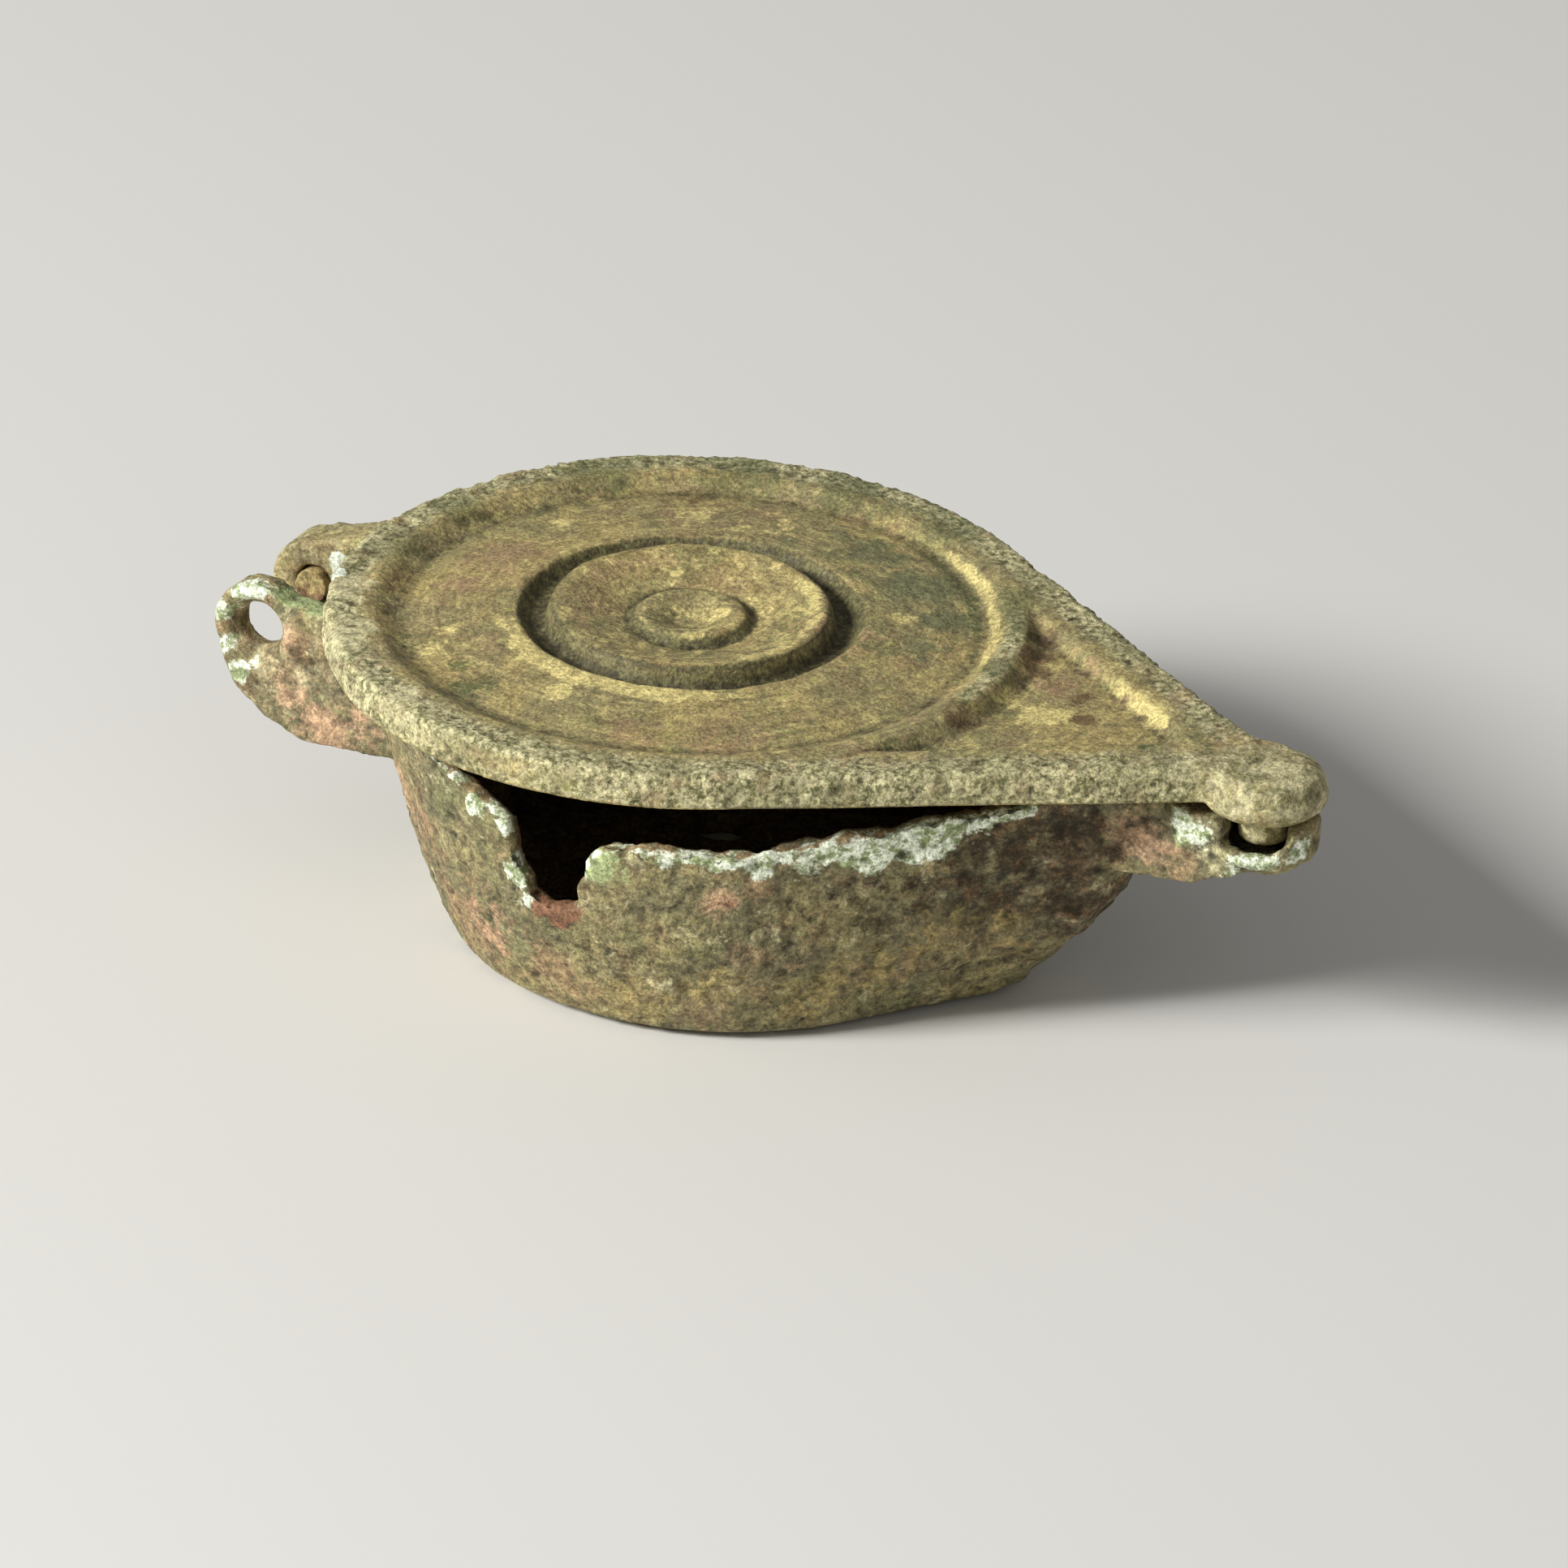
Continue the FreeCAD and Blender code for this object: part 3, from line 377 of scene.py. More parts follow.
class Finish:
    """Short hand for the nodes of one material."""

    # Sockets of the mix node that carry colours
    MIX_INPUTS = (6, 7)
    MIX_RESULT = 2

    def __init__(self, name):
        self.material = bpy.data.materials.new(name)
        self.material.use_nodes = True
        self.tree = self.material.node_tree
        self.shader = self.tree.nodes["Principled BSDF"]
        coordinates = self.tree.nodes.new("ShaderNodeTexCoord")
        mapping = self.tree.nodes.new("ShaderNodeMapping")
        mapping.inputs["Scale"].default_value = (1 / MM, 1 / MM, 1 / MM)
        self.tree.links.new(coordinates.outputs["Object"], mapping.inputs["Vector"])
        self.place = mapping.outputs["Vector"]

    def link(self, source, target):
        if hasattr(source, "is_output"):
            self.tree.links.new(source, target)
        else:
            target.default_value = source

    def noise(self, grain, detail=4.0, rough=0.6, shift=0.0, warp=0.0, place=None):
        """Noise from 0 to 1 whose largest forms are grain millimetres."""
        node = self.tree.nodes.new("ShaderNodeTexNoise")
        node.noise_dimensions = "4D"
        node.inputs["Scale"].default_value = 1 / grain
        node.inputs["Detail"].default_value = detail
        node.inputs["Roughness"].default_value = rough
        node.inputs["W"].default_value = shift
        node.inputs["Distortion"].default_value = warp
        self.tree.links.new(place or self.place, node.inputs["Vector"])
        return node.outputs["Fac"]

    def attribute(self, name):
        node = self.tree.nodes.new("ShaderNodeAttribute")
        node.attribute_name = name
        return node.outputs["Fac"]

    def places(self, name):
        """Stored places that a noise can follow instead of the object's own."""
        node = self.tree.nodes.new("ShaderNodeAttribute")
        node.attribute_name = name
        return node.outputs["Vector"]

    def spread(self, value, low, high, start=0.0, end=1.0):
        """Value between low and high, brought to the range from start to end."""
        node = self.tree.nodes.new("ShaderNodeMapRange")
        node.interpolation_type = "SMOOTHSTEP"
        for key, number in (("From Min", low), ("From Max", high),
                            ("To Min", start), ("To Max", end)):
            node.inputs[key].default_value = number
        self.link(value, node.inputs["Value"])
        return node.outputs["Result"]

    def combine(self, kind, first, second):
        """Sum, difference or product of two values, as kind says."""
        node = self.tree.nodes.new("ShaderNodeMath")
        node.operation = kind
        self.link(first, node.inputs[0])
        self.link(second, node.inputs[1])
        return node.outputs["Value"]

    def blend(self, amount, first, second, mode="MIX"):
        node = self.tree.nodes.new("ShaderNodeMix")
        node.data_type = "RGBA"
        node.blend_type = mode
        self.link(amount, node.inputs[0])
        for source, place in zip((first, second), self.MIX_INPUTS):
            value = source if hasattr(source, "is_output") else (*source, 1.0)
            self.link(value, node.inputs[place])
        return node.outputs[self.MIX_RESULT]

    def stain(self, tone, mask, colour, edge, ragged, soft, most):
        """Patch of a colour where a stored mask, made ragged by the edge noise, is over a half."""
        jitter = self.combine("MULTIPLY", self.combine("SUBTRACT", edge, 0.5), ragged)
        edged = self.combine("ADD", self.attribute(mask), jitter)
        masked = self.combine("MULTIPLY", self.spread(edged, 0.5 - soft, 0.5 + soft, 0.0, most),
                          self.spread(self.attribute(mask), 0.05, 0.25))
        return self.blend(masked, tone, colour)

    def mottle(self, tone, grain, dim, bright):
        """Tone made darker and lighter by a grain."""
        shade = self.spread(grain, 0.34, 0.66, dim, bright)
        level = self.tree.nodes.new("ShaderNodeCombineColor")
        for part in range(3):
            self.tree.links.new(shade, level.inputs[part])
        return self.blend(1.0, tone, level.outputs[0], "MULTIPLY")

    def hollows(self, tone, dark, grain, packed):
        """Darker colour in the pits and, as far as packed says, in the grooves, broken up by a
        grain.
        """
        for mask, low, high, most in (("pit", 0.006, 0.045, 0.75), ("groove", 0.05, 0.20, packed)):
            depth = self.spread(self.attribute(mask), low, high, 0.0, most)
            broken = self.combine("MULTIPLY", depth, self.spread(grain, 0.34, 0.58, 1.0, 0.45))
            tone = self.blend(broken, tone, dark)
        return tone

    def finish(self, tone, rough, metal):
        self.tree.links.new(tone, self.shader.inputs["Base Color"])
        self.tree.links.new(rough, self.shader.inputs["Roughness"])
        self.shader.inputs["Metallic"].default_value = metal
        self.shader.inputs["Specular IOR Level"].default_value = 0.42

    def relief(self, normal):
        self.tree.links.new(normal, self.shader.inputs["Normal"])

    def bump(self, height, depth, strength=1.0, under=None):
        """Relief of depth millimetres from a height between 0 and 1."""
        node = self.tree.nodes.new("ShaderNodeBump")
        node.inputs["Distance"].default_value = depth * MM
        node.inputs["Strength"].default_value = strength
        self.link(height, node.inputs["Height"])
        if under is not None:
            self.link(under, node.inputs["Normal"])
        return node.outputs["Normal"]


def lid_finish(colours):
    """Lid bronze: smooth mottled fields, placed stains, painted shade and highlight on the turned
    rings, and a gritty chalky border.
    """
    f = Finish("lid_bronze_patina")
    fine = f.noise(0.16, 3, 0.7, 7.7)
    grit = f.noise(0.30, 4, 0.75, 5.5, 0.4)
    speck = f.noise(0.42, 5, 0.72, 3.1)
    edge = f.noise(0.95, 5, 0.68, 6.6, 0.3)
    tone = f.blend(f.spread(f.noise(5.0, 4, 0.6, 1.3, 0.4), 0.42, 0.58),
                   colours.ochre, colours.khaki)
    for grain, shift, low, high, most, colour in (
            (2.4, 9.4, 0.50, 0.62, 0.42, colours.rose), (2.9, 5.2, 0.53, 0.63, 0.60, colours.olive),
            (1.5, 2.9, 0.56, 0.66, 0.45, colours.straw), (1.8, 8.3, 0.57, 0.68, 0.50, colours.sage),
            (1.1, 4.7, 0.57, 0.68, 0.55, colours.brown), (0.6, 6.1, 0.56, 0.64, 0.50, colours.lime),
            (0.5, 3.6, 0.57, 0.65, 0.40, colours.rose)):
        film = f.noise(grain, 6, 0.68, shift, 0.5)
        tone = f.blend(f.spread(film, low, high, 0.0, most), tone, colour)
    marks = f.noise(0.55, 4, 0.65, 1.7, 0.2, f.places("turning"))
    tone = f.blend(f.spread(marks, 0.54, 0.66, 0.0, 0.40), tone, colours.brown)
    tone = f.blend(f.spread(marks, 0.46, 0.36, 0.0, 0.35), tone, colours.straw)
    tone = f.stain(tone, "sage", colours.sage, edge, 2.2, 0.20, 0.70)
    # The rose, brown and straw layers carry painted shade and painted highlight on the lid's rings
    # besides real stains
    tone = f.stain(tone, "rose", colours.rose, edge, 2.2, 0.20, 0.75)
    tone = f.stain(tone, "brown", colours.brown, edge, 2.0, 0.16, 0.80)
    tone = f.stain(tone, "straw", colours.straw, edge, 2.2, 0.14, 0.85)
    tone = f.stain(tone, "moss", colours.moss, grit, 3.4, 0.30, 0.75)
    chalk = f.blend(f.spread(grit, 0.42, 0.56), colours.olive, colours.cream)
    for grain, shift, low, high, most, colour in (
            (3.3, 2.2, 0.48, 0.62, 0.40, colours.olive),
            (1.2, 9.1, 0.52, 0.64, 0.45, colours.rose)):
        cloud = f.noise(grain, 4, 0.6, shift)
        chalk = f.blend(f.spread(cloud, low, high, 0.0, most), chalk, colour)
    chalk = f.blend(f.spread(grit, 0.42, 0.34, 0.0, 0.75), chalk, colours.dark)
    crust = f.combine("ADD", f.attribute("border"), f.combine("SUBTRACT", edge, 0.5))
    tone = f.blend(f.spread(crust, 0.25, 0.85, 0.0, 0.90), tone, chalk)
    tone = f.stain(tone, "film", colours.moss, edge, 2.4, 0.25, 0.50)
    tone = f.stain(tone, "cream", colours.cream, edge, 2.4, 0.20, 0.70)
    packed = f.blend(f.spread(grit, 0.44, 0.58), colours.soil, colours.sludge)
    tone = f.stain(tone, "soil", packed, speck, 2.0, 0.22, 0.92)
    tone = f.stain(tone, "mint", colours.mint, edge, 2.0, 0.12, 0.95)
    tone = f.hollows(tone, colours.dark, speck, 0.25)
    tone = f.mottle(tone, speck, 0.74, 1.23)
    tone = f.mottle(tone, fine, 0.64, 1.34)
    f.finish(tone, f.spread(edge, 0.35, 0.65, 0.50, 0.80), 0.12)
    relief = f.bump(marks, 0.06, 0.5, f.bump(fine, 0.10, 0.55))
    f.relief(f.bump(speck, 0.20, 0.6, relief))
    return f.material


def box_finish(colours):
    """Box bronze: brown gritty crust, pink and ochre patches, a nose darkened partly by painted
    shade, and crisp pale broken edges.
    """
    f = Finish("box_bronze_patina")
    fine = f.noise(0.17, 3, 0.7, 1.7)
    speck = f.noise(0.50, 5, 0.72, 5.1)
    edge = f.noise(1.1, 6, 0.70, 3.6, 0.4)
    tone = f.blend(f.spread(f.noise(4.4, 4, 0.6, 6.3, 0.4), 0.43, 0.57),
                   colours.earth, colours.khaki)
    for grain, shift, low, high, most, colour in (
            (2.0, 3.4, 0.52, 0.62, 0.55, colours.rose), (3.1, 7.2, 0.52, 0.62, 0.60, colours.olive),
            (1.1, 5.9, 0.55, 0.64, 0.60, colours.cream),
            (1.7, 1.3, 0.55, 0.65, 0.60, colours.brown),
            (0.7, 8.8, 0.56, 0.64, 0.65, colours.dark)):
        film = f.noise(grain, 6, 0.7, shift, 0.5)
        tone = f.blend(f.spread(film, low, high, 0.0, most), tone, colour)
    tone = f.stain(tone, "rose", colours.rose, edge, 2.2, 0.22, 0.70)
    tone = f.stain(tone, "cream", colours.cream, edge, 2.4, 0.20, 0.75)
    tone = f.stain(tone, "blush", colours.blush, edge, 3.2, 0.32, 0.70)
    # Painted shade: the bowl's right side and nose are darkened towards umber, which is partly dark
    # earth
    tone = f.stain(tone, "umber_and_shade", colours.umber_and_shade, edge, 3.4, 0.42, 0.92)
    # Painted highlight: glints of rust colour on the grain's high specks over the darkened nose
    glint = f.combine("MULTIPLY", f.spread(speck, 0.54, 0.66, 0.0, 0.6), f.attribute("umber_and_shade"))
    tone = f.blend(glint, tone, colours.rust)
    # Ochre patches: partly golden patina, partly painted highlight
    tone = f.stain(tone, "ochre", colours.ochre, edge, 3.6, 0.28, 0.75)
    tone = f.stain(tone, "rust", colours.rust, edge, 2.0, 0.12, 0.90)
    tone = f.stain(tone, "leaf", colours.leaf, edge, 2.4, 0.16, 0.85)
    chalk = f.blend(f.spread(speck, 0.42, 0.54), colours.leaf, colours.mint)
    tone = f.stain(tone, "mint", chalk, edge, 3.4, 0.12, 0.95)
    # Brown inside the bowl: partly earth, partly painted shade on the inner walls and floor
    tone = f.stain(tone, "inside", colours.brown, edge, 1.0, 0.30, 0.80)
    tone = f.hollows(tone, colours.dark, speck, 0.85)
    tone = f.mottle(tone, speck, 0.56, 1.38)
    tone = f.mottle(tone, fine, 0.64, 1.34)
    f.finish(tone, f.spread(edge, 0.35, 0.65, 0.58, 0.88), 0.10)
    relief = f.bump(fine, 0.10, 0.55)
    f.relief(f.bump(speck, 0.26, 0.7, relief))
    return f.material


def rust_finish(colours):
    """Iron rust under yellow-brown dirt, with dark scabs."""
    f = Finish("pin_iron_rust")
    fine = f.noise(0.15, 3, 0.7, 2.7)
    speck = f.noise(0.40, 4, 0.7, 4.1)
    tone = f.blend(f.spread(f.noise(0.7, 4, 0.6, 4.4), 0.42, 0.58), colours.ochre, colours.brown)
    tone = f.blend(f.spread(f.noise(1.1, 4, 0.6, 8.2), 0.52, 0.62, 0.0, 0.6), tone, colours.rust)
    tone = f.blend(f.spread(speck, 0.54, 0.64, 0.0, 0.6), tone, colours.dark)
    f.finish(f.mottle(tone, fine, 0.7, 1.3), f.spread(speck, 0.3, 0.7, 0.75, 0.95), 0.05)
    f.relief(f.bump(speck, 0.16, 0.8, f.bump(fine, 0.06, 0.6)))
    return f.material


def shade_with(piece, material):
    piece.data.materials.append(material)
    pick(piece)
    bpy.ops.object.shade_smooth()


def relief_layers(piece):
    """Stores where the surface is pitted or grooved, for the finish to colour."""
    for name, rounds in (("pit", 5), ("groove", 40)):
        store(piece, name, np.clip(hollow(piece, rounds), 0, 1))


def shape_of(piece):
    """Places and normals of a casting before it is worn, by which its zones are told apart."""
    points = points_of(piece)
    from_hinge = np.hypot(points[:, 0] - HINGE_PLACE[0], points[:, 2] - HINGE_PLACE[1])
    return SimpleNamespace(points=points, x=points[:, 0], y=points[:, 1], z=points[:, 2],
                           normals=normals_of(piece), from_hinge=from_hinge)


def lid_zones(piece):
    """Parts of the lid that wear or stain in their own ways, as weights from 0 to 1."""
    at = shape_of(piece)
    at.reach = np.hypot(at.x, at.y)
    at.turn = np.arctan2(at.y, at.x)
    at.angle = np.degrees(at.turn)
    at.inset = lid_inset(at.points)
    at.upward = step(at.normals[:, 2], 0.0, 0.6)
    at.top = (at.z > TOP_FACE_FROM) * at.upward
    at.underside = step(-at.normals[:, 2], 0.3, 0.8) * step(at.z, 12.0, 12.2)
    at.bore = 1 - step(at.from_hinge, 1.0, 1.5)
    at.knuckle = step(-at.x, 15.5, 16.6)
    at.peg = 1 - step(at.z, 11.6, 11.9)
    at.knob = step(at.x, KNOB_X - 3.2, KNOB_X - 1.8)
    at.panel = step(LID_TOP - at.z, 0.03, 0.12) * step(at.x, 12.5, 12.9)
    at.panel *= step(at.reach, 13.9, 14.2) * (at.normals[:, 2] > 0.4) * (at.x < 23)
    at.panel *= step(at.inset, 1.5, 1.9)
    at.side = step(1 - np.abs(at.normals[:, 2]), 0.25, 0.7) * (1 - step(at.inset, 0.3, 1.0))
    return at


def wear_lid(piece, at, settings):
    """Warps the whole lid, pits its border and leaves its fields nearly smooth."""
    rough = np.maximum((1 - step(at.inset, 1.2, 2.1)) * at.upward, at.side)
    rough *= (1 - 0.4 * at.knuckle) * (1 - at.panel) * (1 - 0.55 * at.knob)
    free = (1 - 0.75 * at.underside) * (1 - at.bore) * (1 - 0.7 * at.knuckle)
    weigh(piece, "all", free * (1 - at.peg))
    weigh(piece, "rough", rough * (1 - at.peg) * (1 - at.bore))
    weigh(piece, "smooth", np.clip(at.upward - rough, 0, 1))
    pits = settings.pits
    wear(piece, "lid_warp", 3.6, settings.warp, 0.5, "all", 2)
    wear(piece, "border_pits", 0.40, pits, 0.62, "rough", 3)
    wear(piece, "border_lumps", 1.3, pits * 0.6, 0.55, "rough", 1)
    wear(piece, "field_grain", 0.6, pits * 0.28, 0.55, "smooth", 2)


def stain_lid(piece, at):
    """Stores where each stain of the lid lies, and where shade and highlight are painted on the
    turned rings, for its finish to colour.
    """
    patch = {name: spots(at.points, places) for name, places in LID_STAINS.items()}
    crust = np.maximum((1 - 0.85 * step(at.inset, 0.6, 2.6)) * at.upward, at.side)
    ridge = ring(at.reach, RIDGE_RADIUS, 0.6, 4) * step(at.x, 11.0, 12.5) * at.upward
    crust = np.maximum(crust, 0.75 * ridge * (at.y > -1.5))
    # Painted shade: the near side face turned to the key light gets less pale crust, so it reads
    # darker
    shade_painted_on_lit_side = at.side * np.exp(-((at.x + 1) / 6) ** 2) * (at.y < 0)
    store(piece, "border", crust * (1 - at.panel) * (1 - 0.4 * at.knob) * (1 - 0.5 * at.knuckle)
          * (1 - 0.45 * shade_painted_on_lit_side))
    # Painted light on the turned rings: painted highlight on the right slope and on the right edge
    # of the disc, painted shade on the left slope and on the left side of the dished disc
    painted_crescent_highlight = ring(at.reach, SLOPE_RADIUS, 0.35) * sector(at.angle, 38, 42)
    inner_line = ring(at.reach, FIELD_LINE_RADIUS, 0.35) * sector(at.angle, 40, 30)
    painted_slope_shade = ring(at.reach, 13.0, 0.45) * sector(np.abs(at.angle), 180, 70)
    band = ring(at.reach, 7.95, 0.62) * sector(at.angle, -93, 50)
    painted_disc_shade = ring(at.reach, 4.8, 0.8) * sector(np.abs(at.angle), 175, 70)
    painted_disc_highlight = ring(at.reach, 5.3, 0.5) * sector(at.angle, 10, 65)
    # Straw here is partly real wear and partly painted highlight on the right slope and the disc's
    # right edge
    store(piece, "straw", at.top * np.maximum.reduce(
        (patch["straw"], 1.1 * band, 0.72 * painted_crescent_highlight, 0.62 * painted_disc_highlight,
         0.34 * (at.reach < DISC_RADIUS))))
    # Brown here is partly real dirt and partly painted shade on the left slope
    store(piece, "brown", np.maximum.reduce(
        (patch["hinge_brown"], at.top * patch["brown"], 0.5 * painted_slope_shade * at.top)))
    # Rose here is partly real crust and partly painted shade on the disc's left side
    store(piece, "rose", at.top * np.maximum(0.6 * painted_disc_shade, patch["rose"]))
    store(piece, "sage", at.top * patch["sage"])
    store(piece, "moss", at.top * np.maximum(patch["moss"], 0.7 * inner_line))
    store(piece, "soil", at.top * np.maximum.reduce(
        (ring(at.reach, DEEP_GROOVE_RADIUS, 0.82, 6),
         0.85 * ring(at.reach, BEAD_GROOVE_RADIUS, 0.36),
         0.42 * ring(at.reach, FIELD_LINE_RADIUS, 0.3))))
    store(piece, "cream", np.maximum(0.45 * at.knob, patch["cream"]))
    store(piece, "film", at.top * patch["film"])
    store(piece, "mint", patch["mint"])
    store_places(piece, "turning", np.column_stack(
        (at.reach * TURNING_PITCH, np.cos(at.turn) * TURNING_LENGTH,
         np.sin(at.turn) * TURNING_LENGTH)))


def box_zones(piece):
    """Parts of the box that wear or stain in their own ways, as weights from 0 to 1."""
    at = shape_of(piece)
    at.upward = step(at.normals[:, 2], 0.2, 0.8)
    at.bore = (1 - step(at.from_hinge, 1.35, 1.7)) * (at.x < -16)
    at.rim = step(at.z, 11.7, 12.0)
    at.foot = 1 - step(at.z, 0.15, 0.9)
    at.lugs = step(-at.x, 13.2, 15.0)
    at.below = np.interp(at.x, BREAK_X, BREAK_Z) - at.z
    at.near = step(-at.y, 1.5, 3.5) * step(at.x, -8.0, -6.5)
    at.near *= 1 - step(at.x, 18.5, 21.0)
    at.slot = step(at.x, -0.8, -0.2) * (1 - step(at.x, 2.2, 2.6))
    return at


def wear_box(piece, at, settings):
    """Roughens the bowl, most of all at its nose, and makes the broken rim uneven."""
    free = (1 - at.bore) * (1 - 0.85 * at.rim) * (1 - 0.9 * at.foot)
    nose = step(at.x, 9.0, 17.0) * (1 - step(at.x, 20.5, 22.0))
    broken = at.near * (1 - step(at.below, 0.3, 1.2))
    weigh(piece, "all", free * (1 - 0.55 * at.lugs))
    weigh(piece, "nose_crust", free * nose)
    weigh(piece, "broken", broken * step(at.normals[:, 2], -0.2, 0.3) * (1 - at.rim))
    scale = settings.scale
    wear(piece, "box_warp", 4.2, settings.warp * 1.3, 0.5, "all", 2)
    wear(piece, "rim_break", 1.1, settings.fracture, 0.75, "broken", 2, direction="Z")
    wear(piece, "nose_lumps", 1.5, scale * 1.6, 0.5, "nose_crust", 1)
    wear(piece, "bowl_scale", 1.0, scale * 1.2, 0.55, "all", 3)
    wear(piece, "bowl_grain", 0.45, scale * 0.7, 0.55, "all", 2)


def stain_box(piece, at):
    """Stores where each stain of the box lies, and where shade is painted on the bowl's nose, for
    its finish to colour.
    """
    patch = {name: spots(at.points, places) for name, places in BOX_STAINS.items()}
    crust = np.interp(at.x, BREAK_X, CRUST_DEPTH)
    fracture = at.near * (1 - step(at.below, 0.6 * crust, 1.3 * crust))
    fracture *= (1 - at.slot) * (1 - 0.45 * at.upward)
    store(piece, "mint", np.maximum(0.85 * fracture * (1 - at.rim), patch["mint"]))
    broken_top = at.near * at.upward * (1 - step(at.below, 1.4, 2.0)) * (1 - at.rim)
    store(piece, "rose", np.maximum.reduce((0.42 * at.lugs, 0.8 * broken_top, patch["rose"])))
    store(piece, "cream", np.maximum(0.28 * at.lugs, patch["cream"]))
    # Darker towards the bowl's right side and low on its nose: partly dark earth, partly painted
    # shade
    nose_shade_and_earth = step(at.x, 8.0, 19.5) * (1 - step(at.x, 20.8, 22.4)) * step(at.z, 0.0, 6.5)
    store(piece, "umber_and_shade", np.maximum(0.74 * nose_shade_and_earth, patch["umber_and_shade"]))
    for name in ("blush", "leaf", "rust", "ochre"):
        store(piece, name, patch[name])
    # Inner walls and floor of the bowl, painted brown: partly earth, partly painted shade
    inside = step(-(at.x - 2) * at.normals[:, 0] - at.y * at.normals[:, 1], 1.0, 5.0)
    inside = np.maximum(inside, at.upward * (1 - step(at.z, 1.5, 3.0)))
    store(piece, "inside", inside * (at.x > -13) * (at.x < 22))


class SEALBOX_OT_lid(bpy.types.Operator):
    """Lid casting with a rough pitted border round smooth fields"""

    bl_idname = "sealbox.lid"
    bl_label = "Lid casting"

    def execute(self, context):
        settings = context.scene.seal_box_wear
        piece = casting_from("lid", "lid_casting", settings.lid_grain)
        soften(piece)
        zones = lid_zones(piece)
        wear_lid(piece, zones, settings)
        relief_layers(piece)
        stain_lid(piece, zones)
        shade_with(piece, lid_finish(context.scene.seal_box_patina))
        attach(piece, "lid")
        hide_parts("lid")
        return {"FINISHED"}


class SEALBOX_OT_box(bpy.types.Operator):
    """Box casting with a corroded wall and a broken near rim"""

    bl_idname = "sealbox.box"
    bl_label = "Box casting"

    def execute(self, context):
        settings = context.scene.seal_box_wear
        piece = casting_from("box", "box_casting", settings.box_grain)
        soften(piece)
        zones = box_zones(piece)
        wear_box(piece, zones, settings)
        relief_layers(piece)
        stain_box(piece, zones)
        shade_with(piece, box_finish(context.scene.seal_box_patina))
        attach(piece, "box")
        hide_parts("box")
        return {"FINISHED"}


class SEALBOX_OT_pin(bpy.types.Operator):
    """Rusted hinge pin, broken off short of the near lug"""

    bl_idname = "sealbox.pin"
    bl_label = "Hinge pin"

    def execute(self, context):
        settings = context.scene.seal_box_wear
        piece = casting_from("hinge_pin", "hinge_pin_iron", settings.pin_grain)
        weigh(piece, "all", np.full(len(piece.data.vertices), 1.0))
        wear(piece, "pin_scale", 0.5, settings.rust, 1.0, "all", 2)
        shade_with(piece, rust_finish(context.scene.seal_box_patina))
        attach(piece, "box")
        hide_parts("hinge_pin")
        return {"FINISHED"}


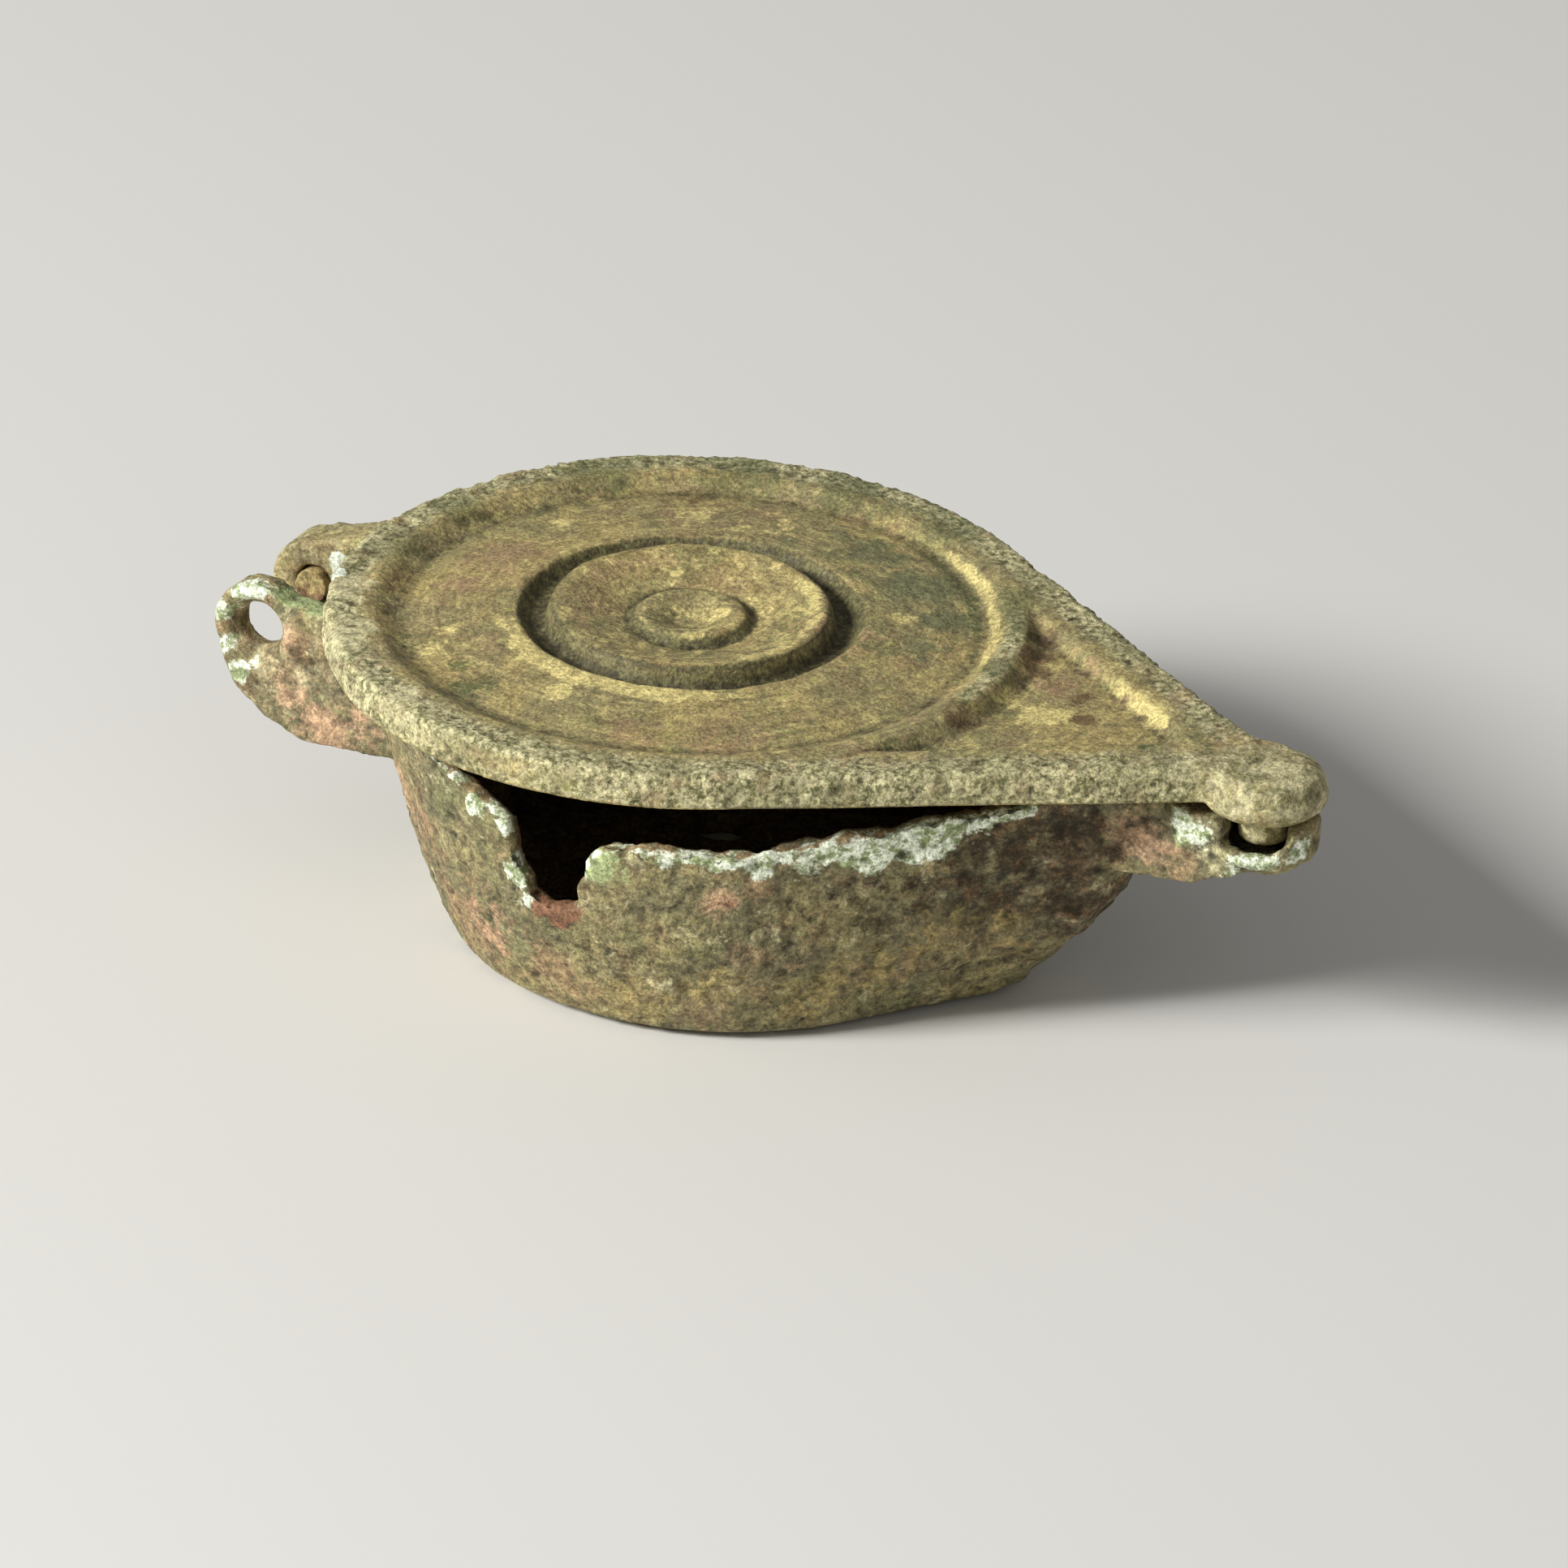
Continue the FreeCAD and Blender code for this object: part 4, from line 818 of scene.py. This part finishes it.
class SEALBOX_OT_stage(bpy.types.Operator):
    """Pale floor, soft studio light and the camera at the photograph's angle"""

    bl_idname = "sealbox.stage"
    bl_label = "Stage"

    LENS = 348.4
    SENSOR = 36.0
    CAMERA_PLACE = (0.26724, -0.51262, 0.29877)
    CAMERA_AIM = (0.00266, 0.00397, 0.00457)
    CAMERA_ROLL = 1.77
    KEY_PLACE = (-0.361, -0.463, 0.381)
    FILL_PLACE = (0.45, -0.40, 0.35)

    def execute(self, context):
        settings = context.scene.seal_box_stage
        self.lay_floor(settings)
        self.light(context, settings)
        self.aim_camera(context)
        context.scene.view_settings.view_transform = "Standard"
        return {"FINISHED"}

    def lay_floor(self, settings):
        bpy.ops.object.select_all(action="DESELECT")
        bpy.ops.mesh.primitive_plane_add(size=6.0, location=(0, 0, 0))
        floor = bpy.context.active_object
        floor.name = "floor"
        material = bpy.data.materials.new("floor_paper")
        material.use_nodes = True
        shader = material.node_tree.nodes["Principled BSDF"]
        shader.inputs["Base Color"].default_value = (*settings.floor, 1.0)
        shader.inputs["Roughness"].default_value = 0.7
        floor.data.materials.append(material)

    def light(self, context, settings):
        for name, place, size, power in (
                ("key_light", self.KEY_PLACE, 0.20, settings.key),
                ("fill_light", self.FILL_PLACE, 0.40, settings.fill)):
            lamp = bpy.data.lights.new(name, "AREA")
            lamp.size = size
            lamp.energy = power
            holder = bpy.data.objects.new(name, lamp)
            holder.location = place
            holder.rotation_euler = (-Vector(place)).to_track_quat("-Z", "Y").to_euler()
            context.scene.collection.objects.link(holder)
        world = bpy.data.worlds.new("studio")
        world.use_nodes = True
        background = world.node_tree.nodes["Background"]
        background.inputs["Color"].default_value = (1, 1, 1, 1)
        background.inputs["Strength"].default_value = settings.sky
        context.scene.world = world

    def aim_camera(self, context):
        lens = bpy.data.cameras.new("camera")
        lens.lens = self.LENS
        lens.sensor_width = self.SENSOR
        lens.clip_start = 0.01
        lens.clip_end = 20.0
        camera = bpy.data.objects.new("camera", lens)
        place = Vector(self.CAMERA_PLACE)
        turn = (Vector(self.CAMERA_AIM) - place).to_track_quat("-Z", "Y")
        roll = Quaternion((0, 0, 1), math.radians(self.CAMERA_ROLL))
        camera.location = place
        camera.rotation_mode = "QUATERNION"
        camera.rotation_quaternion = turn @ roll
        context.scene.collection.objects.link(camera)
        context.scene.camera = camera


class SEALBOX_PT_panel(bpy.types.Panel):
    """Sizes, colours and pieces of the seal box"""

    bl_idname = "SEALBOX_PT_panel"
    bl_label = "Seal Box"
    bl_space_type = "VIEW_3D"
    bl_region_type = "UI"
    bl_category = "Seal Box"

    def draw(self, context):
        for group in (context.scene.seal_box_wear, context.scene.seal_box_patina,
                      context.scene.seal_box_stage):
            area = self.layout.box()
            for key in group.__annotations__:
                area.prop(group, key)
        for operator in OPERATORS:
            self.layout.operator(operator.bl_idname)


GROUPS = (("seal_box_wear", SEALBOX_PG_wear), ("seal_box_patina", SEALBOX_PG_patina),
          ("seal_box_stage", SEALBOX_PG_stage))
OPERATORS = (SEALBOX_OT_box, SEALBOX_OT_lid, SEALBOX_OT_pin, SEALBOX_OT_stage)


def register():
    for name, group in GROUPS:
        bpy.utils.register_class(group)
        setattr(bpy.types.Scene, name, PointerProperty(type=group))
    for cls in (*OPERATORS, SEALBOX_PT_panel):
        bpy.utils.register_class(cls)


def unregister():
    for cls in (SEALBOX_PT_panel, *reversed(OPERATORS)):
        bpy.utils.unregister_class(cls)
    for name, group in reversed(GROUPS):
        delattr(bpy.types.Scene, name)
        bpy.utils.unregister_class(group)


def main():
    register()
    bpy.ops.sealbox.box()
    bpy.ops.sealbox.lid()
    bpy.ops.sealbox.pin()
    bpy.ops.sealbox.stage()


if __name__ == "__main__":
    main()
